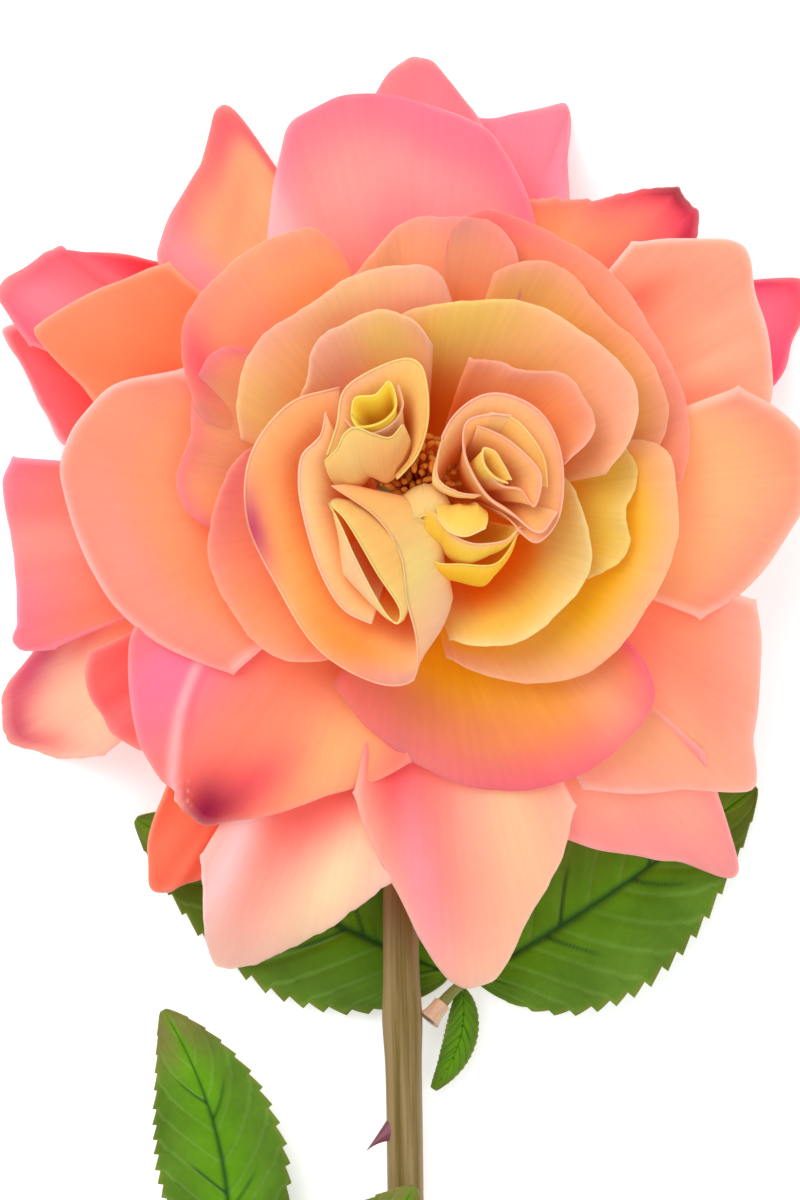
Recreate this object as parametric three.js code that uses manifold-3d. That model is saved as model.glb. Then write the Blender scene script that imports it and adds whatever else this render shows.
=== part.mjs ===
// A cut garden rose, fully open, lying on its back: the bloom faces up and the stem lies along -Y.
// Millimetres, +Z up. The origin is the middle of the bounding box's bottom face.
import * as THREE from 'three';
import { mergeVertices } from 'three/addons/utils/BufferGeometryUtils.js';
import Module from 'manifold-3d';

const wasm = await Module();
wasm.setup();

// Driving dimensions. The bloom's axis stands at x = 0, y = 0 until the whole rose is centred.

const seatGap = 0.3;            // clearance between pieces that grow out of each other

const hip = {
  radius: 9,                    // the round hip that carries the petals
  height: 19,                   // its middle above the surface
  neckRadius: 3.4,              // where the hip runs into the stem
  neckDrop: 1,                  // how far below the hip's ball the neck ends
  sides: 24,
};

const petal = {
  thickness: 0.5,
  baseThickness: 0.22,          // petals thin down where they crowd on the hip
  clawShare: 0.35,              // width of the narrow claw, as a share of the petal's spread
  clawLength: 14,               // how far the claw takes to widen
  tipRound: 0.16,               // how blunt the tips are
  fullAt: 0.4,                  // share of its length at which a petal has its full thickness
  acrossSteps: 8,
  alongSteps: 5,
};

const bow = {
  span: 60,                     // distance past the hip at which a petal has its full lean
  uprightShare: 0.71,           // share of the lean that it has where it leaves the hip
  power: 1.2,                   // how late it leans out
};

const surfaceSoftness = 4;      // petals ease on to the surface over this height

const stem = {
  radius: 3.05,
  length: 324,                  // from the bloom's axis to the cut end
  bendRadius: 12,               // the neck turns from upright to lying in this radius
  neckHeight: 8.6,              // middle of the stem just after the bend
  endOffset: 1.5,               // x of the cut end
  sides: 12,
  steps: 40,
};

const thorn = { length: 7, baseRadius: 2.1, sides: 8, backward: 0.45 };

const leaflet = {
  thickness: 0.6,
  endWidth: 0.9,                // width left at the base and at the tip
  fold: 0.1,                    // how much each half rises from the midrib
  widest: 0.85,                 // below 1 moves the widest place nearer the base
  fullness: 0.8,                // below 1 rounds the outline out
  acrossSteps: 6,
  alongSteps: 8,
};

const stalk = { radius: 1.1, sides: 8, steps: 10 };

const stamens = {
  count: 7,
  columnRadius: 0.9,
  columnShare: 0.33,            // share of the length below the fork
  filamentRadius: 0.3,
  antherRadius: 0.75,
  length: 14,
  spread: 1.5,                  // radius of the ring that the anthers stand in
  heading: [-0.3, 4.2, 23],     // they look out of the gap in the heart
};

// Petals. turn is the compass heading of a petal's middle, half its spread to each side, lean the
// angle from the bloom's axis at full span (degrees), and reach the distance from the hip's middle
// to the furthest point of the rim. skew is where along the rim that point lies (-1 to 1), square
// how boxy the rim is clockwise and anticlockwise of it (1 runs straight to the side, 5 stays out),
// and side the share of the reach at which the side edges end.

const guardPetals = [
  { turn: 27, half: 12, reach: 76, lean: 103, square: [3, 3], side: 0.8 },
  { turn: 78, half: 11, reach: 73, lean: 103, skew: -0.8, square: [2, 1.2], side: 0.8 },
  { turn: 89, half: 12, reach: 77, lean: 100, square: [1.2, 1.8], side: 0.68 },
  { turn: 146, half: 11, reach: 81, lean: 99, skew: 0.5, square: [1.2, 4], side: 0.75 },
  { turn: 163, half: 9, reach: 79, lean: 103, skew: -0.6, square: [3, 1.2], side: 0.72 },
  { turn: 207, half: 11, reach: 81, lean: 103, square: [4, 3], side: 0.74 },
  { turn: 236, half: 9, reach: 78, lean: 95, square: [1.4, 1.3], side: 0.78 },
  { turn: 250, half: 12, reach: 84, lean: 92, skew: -0.25, square: [2.4, 1.2], side: 0.7 },
  { turn: 306, half: 13, reach: 81, lean: 93.5, skew: 0.35, square: [1.1, 1.3], side: 0.72 },
];

const outerPetals = [
  { turn: 32, half: 19, reach: 69, lean: 93, skew: 0.3, square: [2, 1.1], side: 0.75 },
  { turn: 57, half: 14, reach: 70, lean: 97, skew: -0.5, square: [3, 0.9], side: 0.74 },
  { turn: 93, half: 27, reach: 69, lean: 93, skew: 0.1, square: [1.4, 3], side: 0.7 },
  { turn: 124, half: 14, reach: 75, lean: 96, skew: -0.5, square: [1.2, 1], side: 0.74 },
  { turn: 151, half: 15, reach: 72, lean: 93, skew: 0.3, square: [1.6, 1], side: 0.7 },
  { turn: 187, half: 14, reach: 71, lean: 98, square: [7, 7], side: 0.85 },
  { turn: 186, half: 36, reach: 59, lean: 83.5, skew: -0.35, square: [2.8, 1.1], side: 0.67 },
  { turn: 235, half: 33, reach: 64, lean: 86.5, square: [2.4, 0.95], side: 0.66 },
  { turn: 277, half: 20, reach: 80, lean: 89, square: [0.95, 1.1], side: 0.64 },
  { turn: 322, half: 22, reach: 72, lean: 90.5, skew: -0.16, square: [0.9, 0.85], side: 0.73 },
  { turn: 359, half: 21, reach: 65, lean: 88, skew: 0.33, square: [1.2, 2.5], side: 0.7 },
];

const middlePetals = [
  { turn: 45, half: 40, reach: 50.5, lean: 80, skew: 0.4, square: [2, 6], side: 0.86 },
  { turn: 88, half: 24, reach: 48, lean: 77.5, square: [4, 1.2], side: 0.84 },
  { turn: 133, half: 27, reach: 51, lean: 80.5, skew: -0.5, square: [5, 1.7], side: 0.8 },
  { turn: 162, half: 26, reach: 43.5, lean: 77, skew: -0.4, square: [4, 4], side: 0.82 },
  { turn: 200, half: 44, reach: 38.5, lean: 71, square: [4, 4], side: 0.84 },
  { turn: 287, half: 42, reach: 53, lean: 83, skew: 0.5, square: [0.95, 4], side: 0.66 },
  { turn: 330, half: 50, reach: 47, lean: 71, skew: 0.6, square: [1.35, 5], side: 0.66 },
  { turn: 42, half: 30, reach: 47.5, lean: 74, square: [3.5, 3.5], side: 0.88 },
];

const innerPetals = [
  { turn: 120, half: 40, reach: 45, lean: 66, skew: -0.4, square: [5, 1.3], side: 0.82 },
  { turn: 0, half: 24, reach: 41.5, lean: 65, square: [2.4, 2.4], side: 0.85 },
  { turn: 55, half: 46, reach: 46, lean: 60, skew: -0.35, square: [3, 1.6], side: 0.84 },
  { turn: 118, half: 32, reach: 41, lean: 54, skew: -0.4, square: [5, 1.2], side: 0.9 },
  { turn: 328, half: 46, reach: 37.5, lean: 54, square: [5, 5], side: 0.9 },
  { turn: 43, half: 28, reach: 42.5, lean: 50, skew: -0.4, square: [4, 1.6], side: 0.88 },
];

// Heart petals roll round a middle of their own: an oval of the two radii, turned by tilt, followed
// from one heading to the other, with its rim this rise above the hip's middle.
const heartPetals = [
  { middle: [-12.5, -8.5], radii: [22.5, 11], tilt: 121, from: -25, to: 280, rise: 32 },
  { middle: [-11.8, -5], radii: [13.5, 5], tilt: 117, from: 20, to: 330, rise: 33 },
  { middle: [-7, 12.5], radii: [7.5, 7.5], tilt: 0, from: 20, to: 285, rise: 34 },
  { middle: [-7, 13], radii: [4, 3.8], tilt: 0, from: -40, to: 200, rise: 36 },
  { middle: [13.5, 5.5], radii: [9.8, 9], tilt: 20, from: -60, to: 235, rise: 35 },
  { middle: [14, 5.5], radii: [5.6, 4.8], tilt: 20, from: 60, to: 330, rise: 37 },
  { middle: [8, -8.5], radii: [5.5, 4.6], tilt: 0, from: 140, to: 400, rise: 33 },
  { middle: [0, 0], radii: [2.7, 2.3], tilt: 40, from: 100, to: 330, rise: 32 },
];

const sepals = {
  count: 5,
  firstTurn: 18,
  shape: { half: 10, reach: 32, lean: 118, square: [1.2, 1.2], side: 0.5 },
};

const stemRoute = [[-3, -60], [-2.4, -105], [-1, -200]];   // x, y of its gentle curve

const thorns = [
  { y: -101, heading: 195 },
  { y: -140, heading: 20 },
  { y: -198, heading: 150 },
  { y: -243, heading: 330 },
  { y: -286, heading: 200 },
];

// A leaf's points are measured from where its stalk leaves the stem. Leaflets run from base to tip
// over middle, which pulls the midrib into its curve.
const leaves = [
  {
    name: 'upper_leaf',
    y: -84,
    side: 1,
    stalk: [[0, 0, 0], [3, 3.5, -1.4], [5.8, 6, -3]],
    leaflets: [
      { base: [3.4, 7, -5.4], middle: [-21, 17, -5], tip: [-48.5, 32.5, -6.6], width: 28 },
      { base: [7.4, 6.8, -3.6], middle: [27, 17, -2.6], tip: [54, 38, -5], width: 30 },
      { base: [6.6, 4, -4], middle: [6, -5, -2.4], tip: [2.2, -12.5, -4.6], width: 6 },
    ],
  },
  {
    name: 'lower_leaf',
    y: -178,
    side: -1,
    stalk: [[0, 0, 0], [-6.5, 18, 0.3], [-18, 37, -1], [-25, 45, -2.6]],
    leaflets: [
      { base: [-26, 47.5, -3], middle: [-23, 74, 1], tip: [-36.5, 95, -3], width: 20 },
      { base: [-15.5, 37, 1.4], middle: [-6, 51, 8], tip: [5, 67.5, 9], width: 20 },
      { base: [-22.5, 36, -2.4], middle: [-40, 36, -0.5], tip: [-57, 43, -3.6], width: 24 },
      { base: [-9.5, 18, -1], middle: [-24, 12, -1.4], tip: [-38, 6, -4], width: 20 },
      { base: [-4.4, 20, 1.5], middle: [4.6, 29, 8.5], tip: [20.6, 40, 5], width: 20 },
    ],
  },
];

const colours = {
  guard: 0xfd8a7c,
  outer: 0xfe9a84,
  middle: 0xf8a680,
  inner: 0xeba86a,
  heart: 0xe2993c,
  stamens: 0x9c4a10,
  sepal: 0x5d7a2a,
  leaf: 0x667a1a,
  stem: 0x8d713c,
};

// Helpers.

const degree = Math.PI / 180;
const rose = new THREE.Group();

function smooth(share) {
  const held = Math.min(1, Math.max(0, share));
  return held * held * (3 - 2 * held);
}

function addPiece(name, geometry, colour, roughness = 0.7) {
  const material = new THREE.MeshStandardMaterial({ color: colour, roughness, metalness: 0 });
  const mesh = new THREE.Mesh(geometry, material);
  mesh.name = name;
  rose.add(mesh);
}

// A thin closed solid that follows pointAt(u, v), u from -1 to 1 across and v from 0 to 1 along.
function sheetSolid(pointAt, acrossSteps, alongSteps, thicknessAt) {
  const columns = acrossSteps + 1;
  const rows = alongSteps + 1;
  const nudge = 0.002;
  const upper = [];
  const lower = [];
  for (let j = 0; j < rows; j += 1) {
    for (let i = 0; i < columns; i += 1) {
      const u = -1 + 2 * i / acrossSteps;
      const v = j / alongSteps;
      const across = pointAt(u + nudge, v).sub(pointAt(u - nudge, v));
      const along = pointAt(u, Math.min(1, v + nudge)).sub(pointAt(u, Math.max(0, v - nudge)));
      const lift = along.cross(across).normalize().multiplyScalar(thicknessAt(v) / 2);
      const point = pointAt(u, v);
      upper.push(point.clone().add(lift));
      lower.push(point.sub(lift));
    }
  }
  const positions = [...upper, ...lower].flatMap((point) => point.toArray());
  const total = columns * rows;
  const faces = [];
  const quad = (a, b, c, d) => faces.push(a, b, c, a, c, d);
  for (let j = 0; j < alongSteps; j += 1) {
    for (let i = 0; i < acrossSteps; i += 1) {
      const a = j * columns + i;
      const d = a + columns;
      quad(a, d, d + 1, a + 1);
      quad(total + a, total + a + 1, total + d + 1, total + d);
    }
  }
  for (let i = 0; i < acrossSteps; i += 1) {
    const first = i;
    const last = alongSteps * columns + i;
    quad(first, first + 1, total + first + 1, total + first);
    quad(last + 1, last, total + last, total + last + 1);
  }
  for (let j = 0; j < alongSteps; j += 1) {
    const left = j * columns;
    const right = left + acrossSteps;
    quad(left + columns, left, total + left, total + left + columns);
    quad(right, right + columns, total + right + columns, total + right);
  }
  const geometry = new THREE.BufferGeometry();
  geometry.setAttribute('position', new THREE.Float32BufferAttribute(positions, 3));
  geometry.setIndex(faces);
  return geometry;
}

// Petals.

// Share of its lean that a petal has at this distance from the hip's middle.
function leanShare(distance) {
  const outward = Math.max(0, distance - hip.radius) / bow.span;
  return bow.uprightShare + (1 - bow.uprightShare) * outward ** bow.power;
}

// A petal that would sink below the surface eases on to it instead.
function easeOnToSurface(height) {
  if (height > surfaceSoftness) return height;
  return surfaceSoftness * Math.exp(height / surfaceSoftness - 1);
}

// Every petal bows by the same rule, so petals of different lean lie in each other like bowls.
function bowedPoint(lean, turn, distance) {
  const fromAxis = lean * leanShare(distance) * degree;
  const radius = distance * Math.sin(fromAxis);
  const height = hip.height + distance * Math.cos(fromAxis);
  return new THREE.Vector3(
    radius * Math.cos(turn * degree),
    radius * Math.sin(turn * degree),
    easeOnToSurface(height),
  );
}

function clawWidth(distance) {
  const widened = smooth((distance - hip.radius) / petal.clawLength);
  return petal.clawShare + (1 - petal.clawShare) * widened;
}

function petalThickness(v) {
  return petal.baseThickness + (petal.thickness - petal.baseThickness) * smooth(v / petal.fullAt);
}

function petalSolid(pointAt) {
  return sheetSolid(pointAt, petal.acrossSteps, petal.alongSteps, petalThickness);
}

// How far the rim has fallen back, 0 at its furthest point and 1 at a side edge.
function fallBack(fromPeak, square) {
  const blunt = Math.hypot(fromPeak, petal.tipRound) - petal.tipRound;
  const share = blunt / (Math.hypot(1, petal.tipRound) - petal.tipRound);
  return share ** square;
}

function fanPetal({ turn, half, reach, lean, skew = 0, square, side }) {
  const start = hip.radius + seatGap;
  return petalSolid((u, v) => {
    const fromPeak = (u - skew) / (u > skew ? 1 - skew : 1 + skew);
    const fallen = fallBack(fromPeak, square[u > skew ? 1 : 0]);
    const rim = reach * (1 - (1 - side) * fallen);
    const distance = start + (rim - start) * v;
    return bowedPoint(lean, turn + half * u * clawWidth(distance), distance);
  });
}

function heartPetal({ middle, radii, tilt, from, to, rise }) {
  const start = hip.radius + seatGap;
  const tiltCos = Math.cos(tilt * degree);
  const tiltSin = Math.sin(tilt * degree);
  return petalSolid((u, v) => {
    const guess = start + (Math.hypot(rise, middle[0], middle[1]) - start) * v;
    const heading = ((from + to) / 2 + (to - from) / 2 * u * clawWidth(guess)) * degree;
    const alongOval = radii[0] * Math.cos(heading);
    const acrossOval = radii[1] * Math.sin(heading);
    const x = middle[0] + alongOval * tiltCos - acrossOval * tiltSin;
    const y = middle[1] + alongOval * tiltSin + acrossOval * tiltCos;
    const rim = Math.hypot(x, y, rise);
    const lean = Math.acos(rise / rim) / degree / leanShare(rim);
    const distance = start + (rim - start) * v;
    return bowedPoint(lean, Math.atan2(y, x) / degree, distance);
  });
}

function addPetals(name, petals, make, colour) {
  petals.forEach((shape, index) => {
    addPiece(`${name}_${index + 1}`, make(shape), colour);
  });
}

addPetals('guard_petal', guardPetals, fanPetal, colours.guard);
addPetals('outer_petal', outerPetals, fanPetal, colours.outer);
addPetals('middle_petal', middlePetals, fanPetal, colours.middle);
addPetals('inner_petal', innerPetals, fanPetal, colours.inner);
addPetals('heart_petal', heartPetals, heartPetal, colours.heart);

const sepalShapes = Array.from({ length: sepals.count }, (_, index) => (
  { ...sepals.shape, turn: sepals.firstTurn + index * 360 / sepals.count }
));
addPetals('sepal', sepalShapes, fanPetal, colours.sepal);

// Stem, hip and thorns, grown as one piece.

function solidOf(geometry) {
  const bare = geometry.clone();
  bare.deleteAttribute('normal');
  bare.deleteAttribute('uv');
  const merged = mergeVertices(bare, 1e-4);
  return new wasm.Manifold(new wasm.Mesh({
    numProp: 3,
    vertProperties: new Float32Array(merged.attributes.position.array),
    triVerts: new Uint32Array(merged.index.array),
  }));
}

function geometryOf(solid) {
  const mesh = solid.getMesh();
  const geometry = new THREE.BufferGeometry();
  geometry.setAttribute('position', new THREE.BufferAttribute(mesh.vertProperties, 3));
  geometry.setIndex(new THREE.BufferAttribute(mesh.triVerts, 1));
  return geometry;
}

function circleSection(radius, sides) {
  const corners = Array.from({ length: sides }, (_, index) => {
    const angle = index * 2 * Math.PI / sides;
    return new THREE.Vector2(radius * Math.cos(angle), radius * Math.sin(angle));
  });
  return new THREE.Shape(corners);
}

function tubeAlong(path, radius, sides, steps) {
  return new THREE.ExtrudeGeometry(circleSection(radius, sides), { extrudePath: path, steps });
}

// Height of the stem's middle at a place y along it: it slopes from the neck to its resting end.
function stemHeight(y) {
  const share = (-stem.bendRadius - y) / (stem.length - stem.bendRadius);
  return stem.neckHeight + (stem.radius - stem.neckHeight) * share;
}

function stemPath() {
  const bendMiddle = stem.neckHeight + stem.bendRadius;
  const points = [new THREE.Vector3(0, 0, hip.height - hip.radius / 2)];
  for (const angle of [60, 90]) {
    points.push(new THREE.Vector3(
      0,
      stem.bendRadius * (Math.cos(angle * degree) - 1),
      bendMiddle - stem.bendRadius * Math.sin(angle * degree),
    ));
  }
  for (const [x, y] of [...stemRoute, [stem.endOffset, -stem.length]]) {
    points.push(new THREE.Vector3(x, y, stemHeight(y)));
  }
  return new THREE.CatmullRomCurve3(points, false, 'centripetal');
}

const stemCurve = stemPath();

// The point of the stem's middle line at a place y along it.
function stemPointAt(y) {
  let near = 0;
  let far = 1;
  while (far - near > 1e-5) {
    const half = (near + far) / 2;
    if (stemCurve.getPoint(half).y > y) near = half;
    else far = half;
  }
  return stemCurve.getPoint(near);
}

function hipGeometry() {
  const neckEnd = -hip.radius - hip.neckDrop;
  const profile = [
    new THREE.Vector2(0, neckEnd),
    new THREE.Vector2(hip.neckRadius, neckEnd),
  ];
  for (let angle = -60; angle < 90; angle += 15) {
    profile.push(new THREE.Vector2(
      hip.radius * Math.cos(angle * degree),
      hip.radius * Math.sin(angle * degree),
    ));
  }
  profile.push(new THREE.Vector2(0, hip.radius));
  const geometry = new THREE.LatheGeometry(profile, hip.sides);
  geometry.rotateX(Math.PI / 2);
  geometry.translate(0, 0, hip.height);
  return geometry;
}

function thornGeometry({ y, heading }) {
  const geometry = new THREE.ConeGeometry(thorn.baseRadius, thorn.length, thorn.sides);
  geometry.translate(0, thorn.length / 2, 0);
  const outward = new THREE.Vector3(
    Math.cos(heading * degree),
    -thorn.backward,
    Math.abs(Math.sin(heading * degree)),
  ).normalize();
  const upright = new THREE.Vector3(0, 1, 0);
  geometry.applyQuaternion(new THREE.Quaternion().setFromUnitVectors(upright, outward));
  const foot = stemPointAt(y);
  geometry.translate(foot.x, foot.y, foot.z);
  return geometry;
}

function stemSolid() {
  let solid = solidOf(tubeAlong(stemCurve, stem.radius, stem.sides, stem.steps));
  solid = solid.add(solidOf(hipGeometry()));
  for (const place of thorns) solid = solid.add(solidOf(thornGeometry(place)));
  return geometryOf(solid);
}

addPiece('stem', stemSolid(), colours.stem, 0.6);

// Stamens: a short column on the hip that opens into filaments, each with its anther.

function stamenSolid() {
  const hipMiddle = new THREE.Vector3(0, 0, hip.height);
  const heading = new THREE.Vector3(...stamens.heading).normalize();
  const sideways = new THREE.Vector3(1, 0, 0).addScaledVector(heading, -heading.x).normalize();
  const forward = new THREE.Vector3().crossVectors(heading, sideways);
  const foot = hipMiddle.clone().addScaledVector(heading, hip.radius + seatGap);
  const fork = foot.clone().addScaledVector(heading, stamens.length * stamens.columnShare);
  const columnTop = fork.clone().addScaledVector(heading, stamens.filamentRadius);
  const column = new THREE.LineCurve3(foot, columnTop);
  let solid = solidOf(tubeAlong(column, stamens.columnRadius, 8, 1));
  for (let index = 0; index < stamens.count; index += 1) {
    const angle = index * 2 * Math.PI / (stamens.count - 1);
    const fromMiddle = index === stamens.count - 1 ? 0 : stamens.spread;
    const end = foot.clone().addScaledVector(heading, stamens.length)
      .addScaledVector(sideways, fromMiddle * Math.cos(angle))
      .addScaledVector(forward, fromMiddle * Math.sin(angle));
    const filament = new THREE.LineCurve3(fork, end);
    solid = solid.add(solidOf(tubeAlong(filament, stamens.filamentRadius, 6, 1)));
    const anther = new THREE.SphereGeometry(stamens.antherRadius, 8, 6);
    anther.translate(end.x, end.y, end.z);
    solid = solid.add(solidOf(anther));
  }
  return geometryOf(solid);
}

addPiece('stamens', stamenSolid(), colours.stamens, 0.8);

// Leaves.

// Share of its half width that a leaflet has at this place along it.
function bulge(v) {
  return Math.sin(Math.PI * v ** leaflet.widest) ** leaflet.fullness;
}

// A leaflet bends along its midrib and folds up a little on both sides of it.
function leafletSolid({ base, middle, tip, width }, origin) {
  const points = [base, middle, tip].map((point) => new THREE.Vector3(...point).add(origin));
  const rib = new THREE.QuadraticBezierCurve3(...points);
  const up = new THREE.Vector3(0, 0, 1);
  return sheetSolid((u, v) => {
    const across = new THREE.Vector3().crossVectors(up, rib.getTangent(v)).normalize();
    const halfWidth = leaflet.endWidth / 2 + width / 2 * bulge(v);
    const point = rib.getPoint(v).addScaledVector(across, -halfWidth * u);
    point.z += halfWidth * leaflet.fold * Math.abs(u);
    return point;
  }, leaflet.acrossSteps, leaflet.alongSteps, () => leaflet.thickness);
}

for (const leaf of leaves) {
  const origin = stemPointAt(leaf.y);
  origin.x += leaf.side * (stem.radius + seatGap + stalk.radius);
  const route = leaf.stalk.map((point) => new THREE.Vector3(...point).add(origin));
  const tube = tubeAlong(new THREE.CatmullRomCurve3(route), stalk.radius, stalk.sides, stalk.steps);
  addPiece(`${leaf.name}_stalk`, tube, colours.stem);
  leaf.leaflets.forEach((shape, index) => {
    addPiece(`${leaf.name}_leaflet_${index + 1}`, leafletSolid(shape, origin), colours.leaf);
  });
}

// Set the rose down with the middle of its footprint at the origin.
const box = new THREE.Box3().setFromObject(rose);
rose.position.set(-(box.min.x + box.max.x) / 2, -(box.min.y + box.max.y) / 2, -box.min.z);
rose.updateMatrixWorld(true);

export default rose;
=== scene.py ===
import math
import bpy
import numpy as np
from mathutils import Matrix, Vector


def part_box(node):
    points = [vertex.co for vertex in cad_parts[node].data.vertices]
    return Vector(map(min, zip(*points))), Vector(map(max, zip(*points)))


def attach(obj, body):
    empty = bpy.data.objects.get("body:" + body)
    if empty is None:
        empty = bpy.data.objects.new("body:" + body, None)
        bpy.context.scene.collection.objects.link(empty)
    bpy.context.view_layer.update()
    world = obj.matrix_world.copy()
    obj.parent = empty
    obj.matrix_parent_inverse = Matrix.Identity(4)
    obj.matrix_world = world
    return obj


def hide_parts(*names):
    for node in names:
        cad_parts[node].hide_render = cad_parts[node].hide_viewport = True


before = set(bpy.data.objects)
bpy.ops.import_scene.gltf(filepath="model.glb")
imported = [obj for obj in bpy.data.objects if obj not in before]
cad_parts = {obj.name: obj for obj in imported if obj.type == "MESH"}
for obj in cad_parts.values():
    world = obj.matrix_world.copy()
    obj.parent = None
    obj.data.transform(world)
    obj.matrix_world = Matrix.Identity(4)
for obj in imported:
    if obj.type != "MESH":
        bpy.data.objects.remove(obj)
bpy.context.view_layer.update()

# Every shape below is worked out in millimetres about the bloom's axis, which stands up from the
# surface through the hip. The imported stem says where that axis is.
mm = 0.001
hip = {
    "radius": 9.0, "seatGap": 0.3, "ballFrom": 88, "ballTo": -56, "ballRings": 40, "sides": 40,
    "inset": 0.99,                # stays just inside the solid that it stands for
    # (radius, height from the middle) where the ball runs down into the neck
    "neck": [[4.3, -8.4], [3.6, -9.6], [3.2, -10.6]],
}
stemLow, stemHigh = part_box("stem")
axisX = (stemLow.x + stemHigh.x) / 2
axisY = stemHigh.y - hip["radius"] * mm
hip["height"] = stemHigh.z / mm - hip["radius"]


def addObject(name, data):
    made = bpy.data.objects.new(name, data)
    bpy.context.scene.collection.objects.link(made)
    return made


def smooth(share):
    # 0 below 0, 1 above 1, an S between
    held = np.clip(share, 0, 1)
    return held * held * (3 - 2 * held)


def linearColour(code):
    # an sRGB hex value as linear red, green, blue
    channels = np.array([int(code[start:start + 2], 16) for start in (1, 3, 5)]) / 255
    return np.where(channels <= 0.04045, channels / 12.92, ((channels + 0.055) / 1.055) ** 2.4)


# height is in mm above the surface, right and up in mm from the bloom's axis
camera = {"lens": 120, "sensor": 36, "height": 664, "right": -3.2, "up": -15.1}
light = {
    "worldStrength": 0.62,
    "keySize": 900, "keyPlace": [-420, 520, 900], "keyWatts": 8.6,
    "fillSize": 900, "fillPlace": [520, -420, 700], "fillWatts": 2.5,
    "floorSize": 3000, "floorGlow": 0.4,
}


def addCamera():
    data = bpy.data.cameras.new("overheadCamera")
    data.lens = camera["lens"]
    data.sensor_width = camera["sensor"]
    data.clip_end = 10
    made = addObject("overheadCamera", data)
    made.location = (
        axisX + camera["right"] * mm, axisY + camera["up"] * mm, camera["height"] * mm)
    bpy.context.scene.camera = made


def addAreaLight(name, size, place, watts):
    # a square soft box that looks at the bloom
    data = bpy.data.lights.new(name, "AREA")
    data.size = size * mm
    data.energy = watts
    made = addObject(name, data)
    made.location = (axisX + place[0] * mm, axisY + place[1] * mm, place[2] * mm)
    toward = -np.array(place) / np.linalg.norm(place)
    made.rotation_euler = (
        math.acos(-toward[2]), 0, math.atan2(toward[1], toward[0]) - math.pi / 2)


addCamera()
for part in ("key", "fill"):
    addAreaLight(part + "SoftBox", light[part + "Size"], light[part + "Place"], light[part + "Watts"])
world = bpy.data.worlds.new("whiteStudio")
world.use_nodes = True
world.node_tree.nodes["Background"].inputs["Color"].default_value = (1, 1, 1, 1)
world.node_tree.nodes["Background"].inputs["Strength"].default_value = light["worldStrength"]
bpy.context.scene.world = world
bpy.context.scene.view_settings.view_transform = "Standard"
print("camera and light")


def addNode(tree, kind, settings={}, inputs={}, ramp=()):
    # adds a node, sets it, and links or fills its inputs; ramp is (place, hex) pairs
    made = tree.nodes.new(kind)
    for key, value in settings.items():
        setattr(made, key, value)
    for key, value in inputs.items():
        if isinstance(value, bpy.types.NodeSocket):
            tree.links.new(value, made.inputs[key])
        else:
            made.inputs[key].default_value = value
    for index, (place, code) in enumerate(ramp):
        stops = made.color_ramp.elements
        stop = stops[index] if index < 2 else stops.new(place)
        stop.position = place
        stop.color = (*linearColour(code), 1)
    return made


def newMaterial(name):
    material = bpy.data.materials.new(name)
    material.use_nodes = True
    return material, material.node_tree, material.node_tree.nodes["Principled BSDF"]


petalFinish = {
    "veinsAcross": 46,            # veins fan out from the base, about 1 mm apart at the rim
    "mottleSize": 7.0,            # mm, the cloudy patches of pigment
    "grainSize": 0.5,             # mm, velvety cells drawn coarser than the real 0.03 mm
    "roughness": 0.62,
    "glow": 0.55,
    "throughLight": 0.1,          # stands in for light that has crossed several petals
    "glowDepth": 1.6,             # mm that light runs inside a petal
}


def noise(tree, vector, size, detail):
    # a noise whose features are about size mm across
    return addNode(tree, "ShaderNodeTexNoise", {}, {
        "Vector": vector, "Scale": 1000 / size, "Detail": detail}).outputs["Fac"]


def streaked(tree, vector, across, along, detail, roughness):
    # a noise drawn out along the piece's own map
    stretched = addNode(tree, "ShaderNodeMapping", {}, {"Vector": vector, "Scale": (across, along, 1)})
    return addNode(tree, "ShaderNodeTexNoise", {}, {
        "Vector": stretched.outputs["Vector"], "Scale": 1.0, "Detail": detail,
        "Roughness": roughness}).outputs["Fac"]


def maths(tree, operation, *values):
    return addNode(
        tree, "ShaderNodeMath", {"operation": operation}, dict(enumerate(values))).outputs[0]


def remapped(tree, value, start, stop, toStart, toStop):
    return addNode(tree, "ShaderNodeMapRange", {}, {
        "Value": value, "From Min": start, "From Max": stop,
        "To Min": toStart, "To Max": toStop}).outputs["Result"]


def tonedBy(tree, factor):
    # the piece's tone attribute, made lighter or darker by a factor
    tone = addNode(tree, "ShaderNodeAttribute", {"attribute_name": "tone"}).outputs["Color"]
    return addNode(tree, "ShaderNodeVectorMath", {"operation": "SCALE"}, {
        0: tone, "Scale": factor}).outputs["Vector"]


def finishShader(tree, shader, colour, relief, strength, depth, sockets):
    # colour, a bump of the given depth in mm, and the values of the shader's own sockets
    bump = addNode(tree, "ShaderNodeBump", {}, {
        "Height": relief, "Strength": strength, "Distance": depth * mm})
    tree.links.new(colour, shader.inputs["Base Color"])
    tree.links.new(bump.outputs["Normal"], shader.inputs["Normal"])
    for key, value in sockets.items():
        shader.inputs[key].default_value = value


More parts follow.
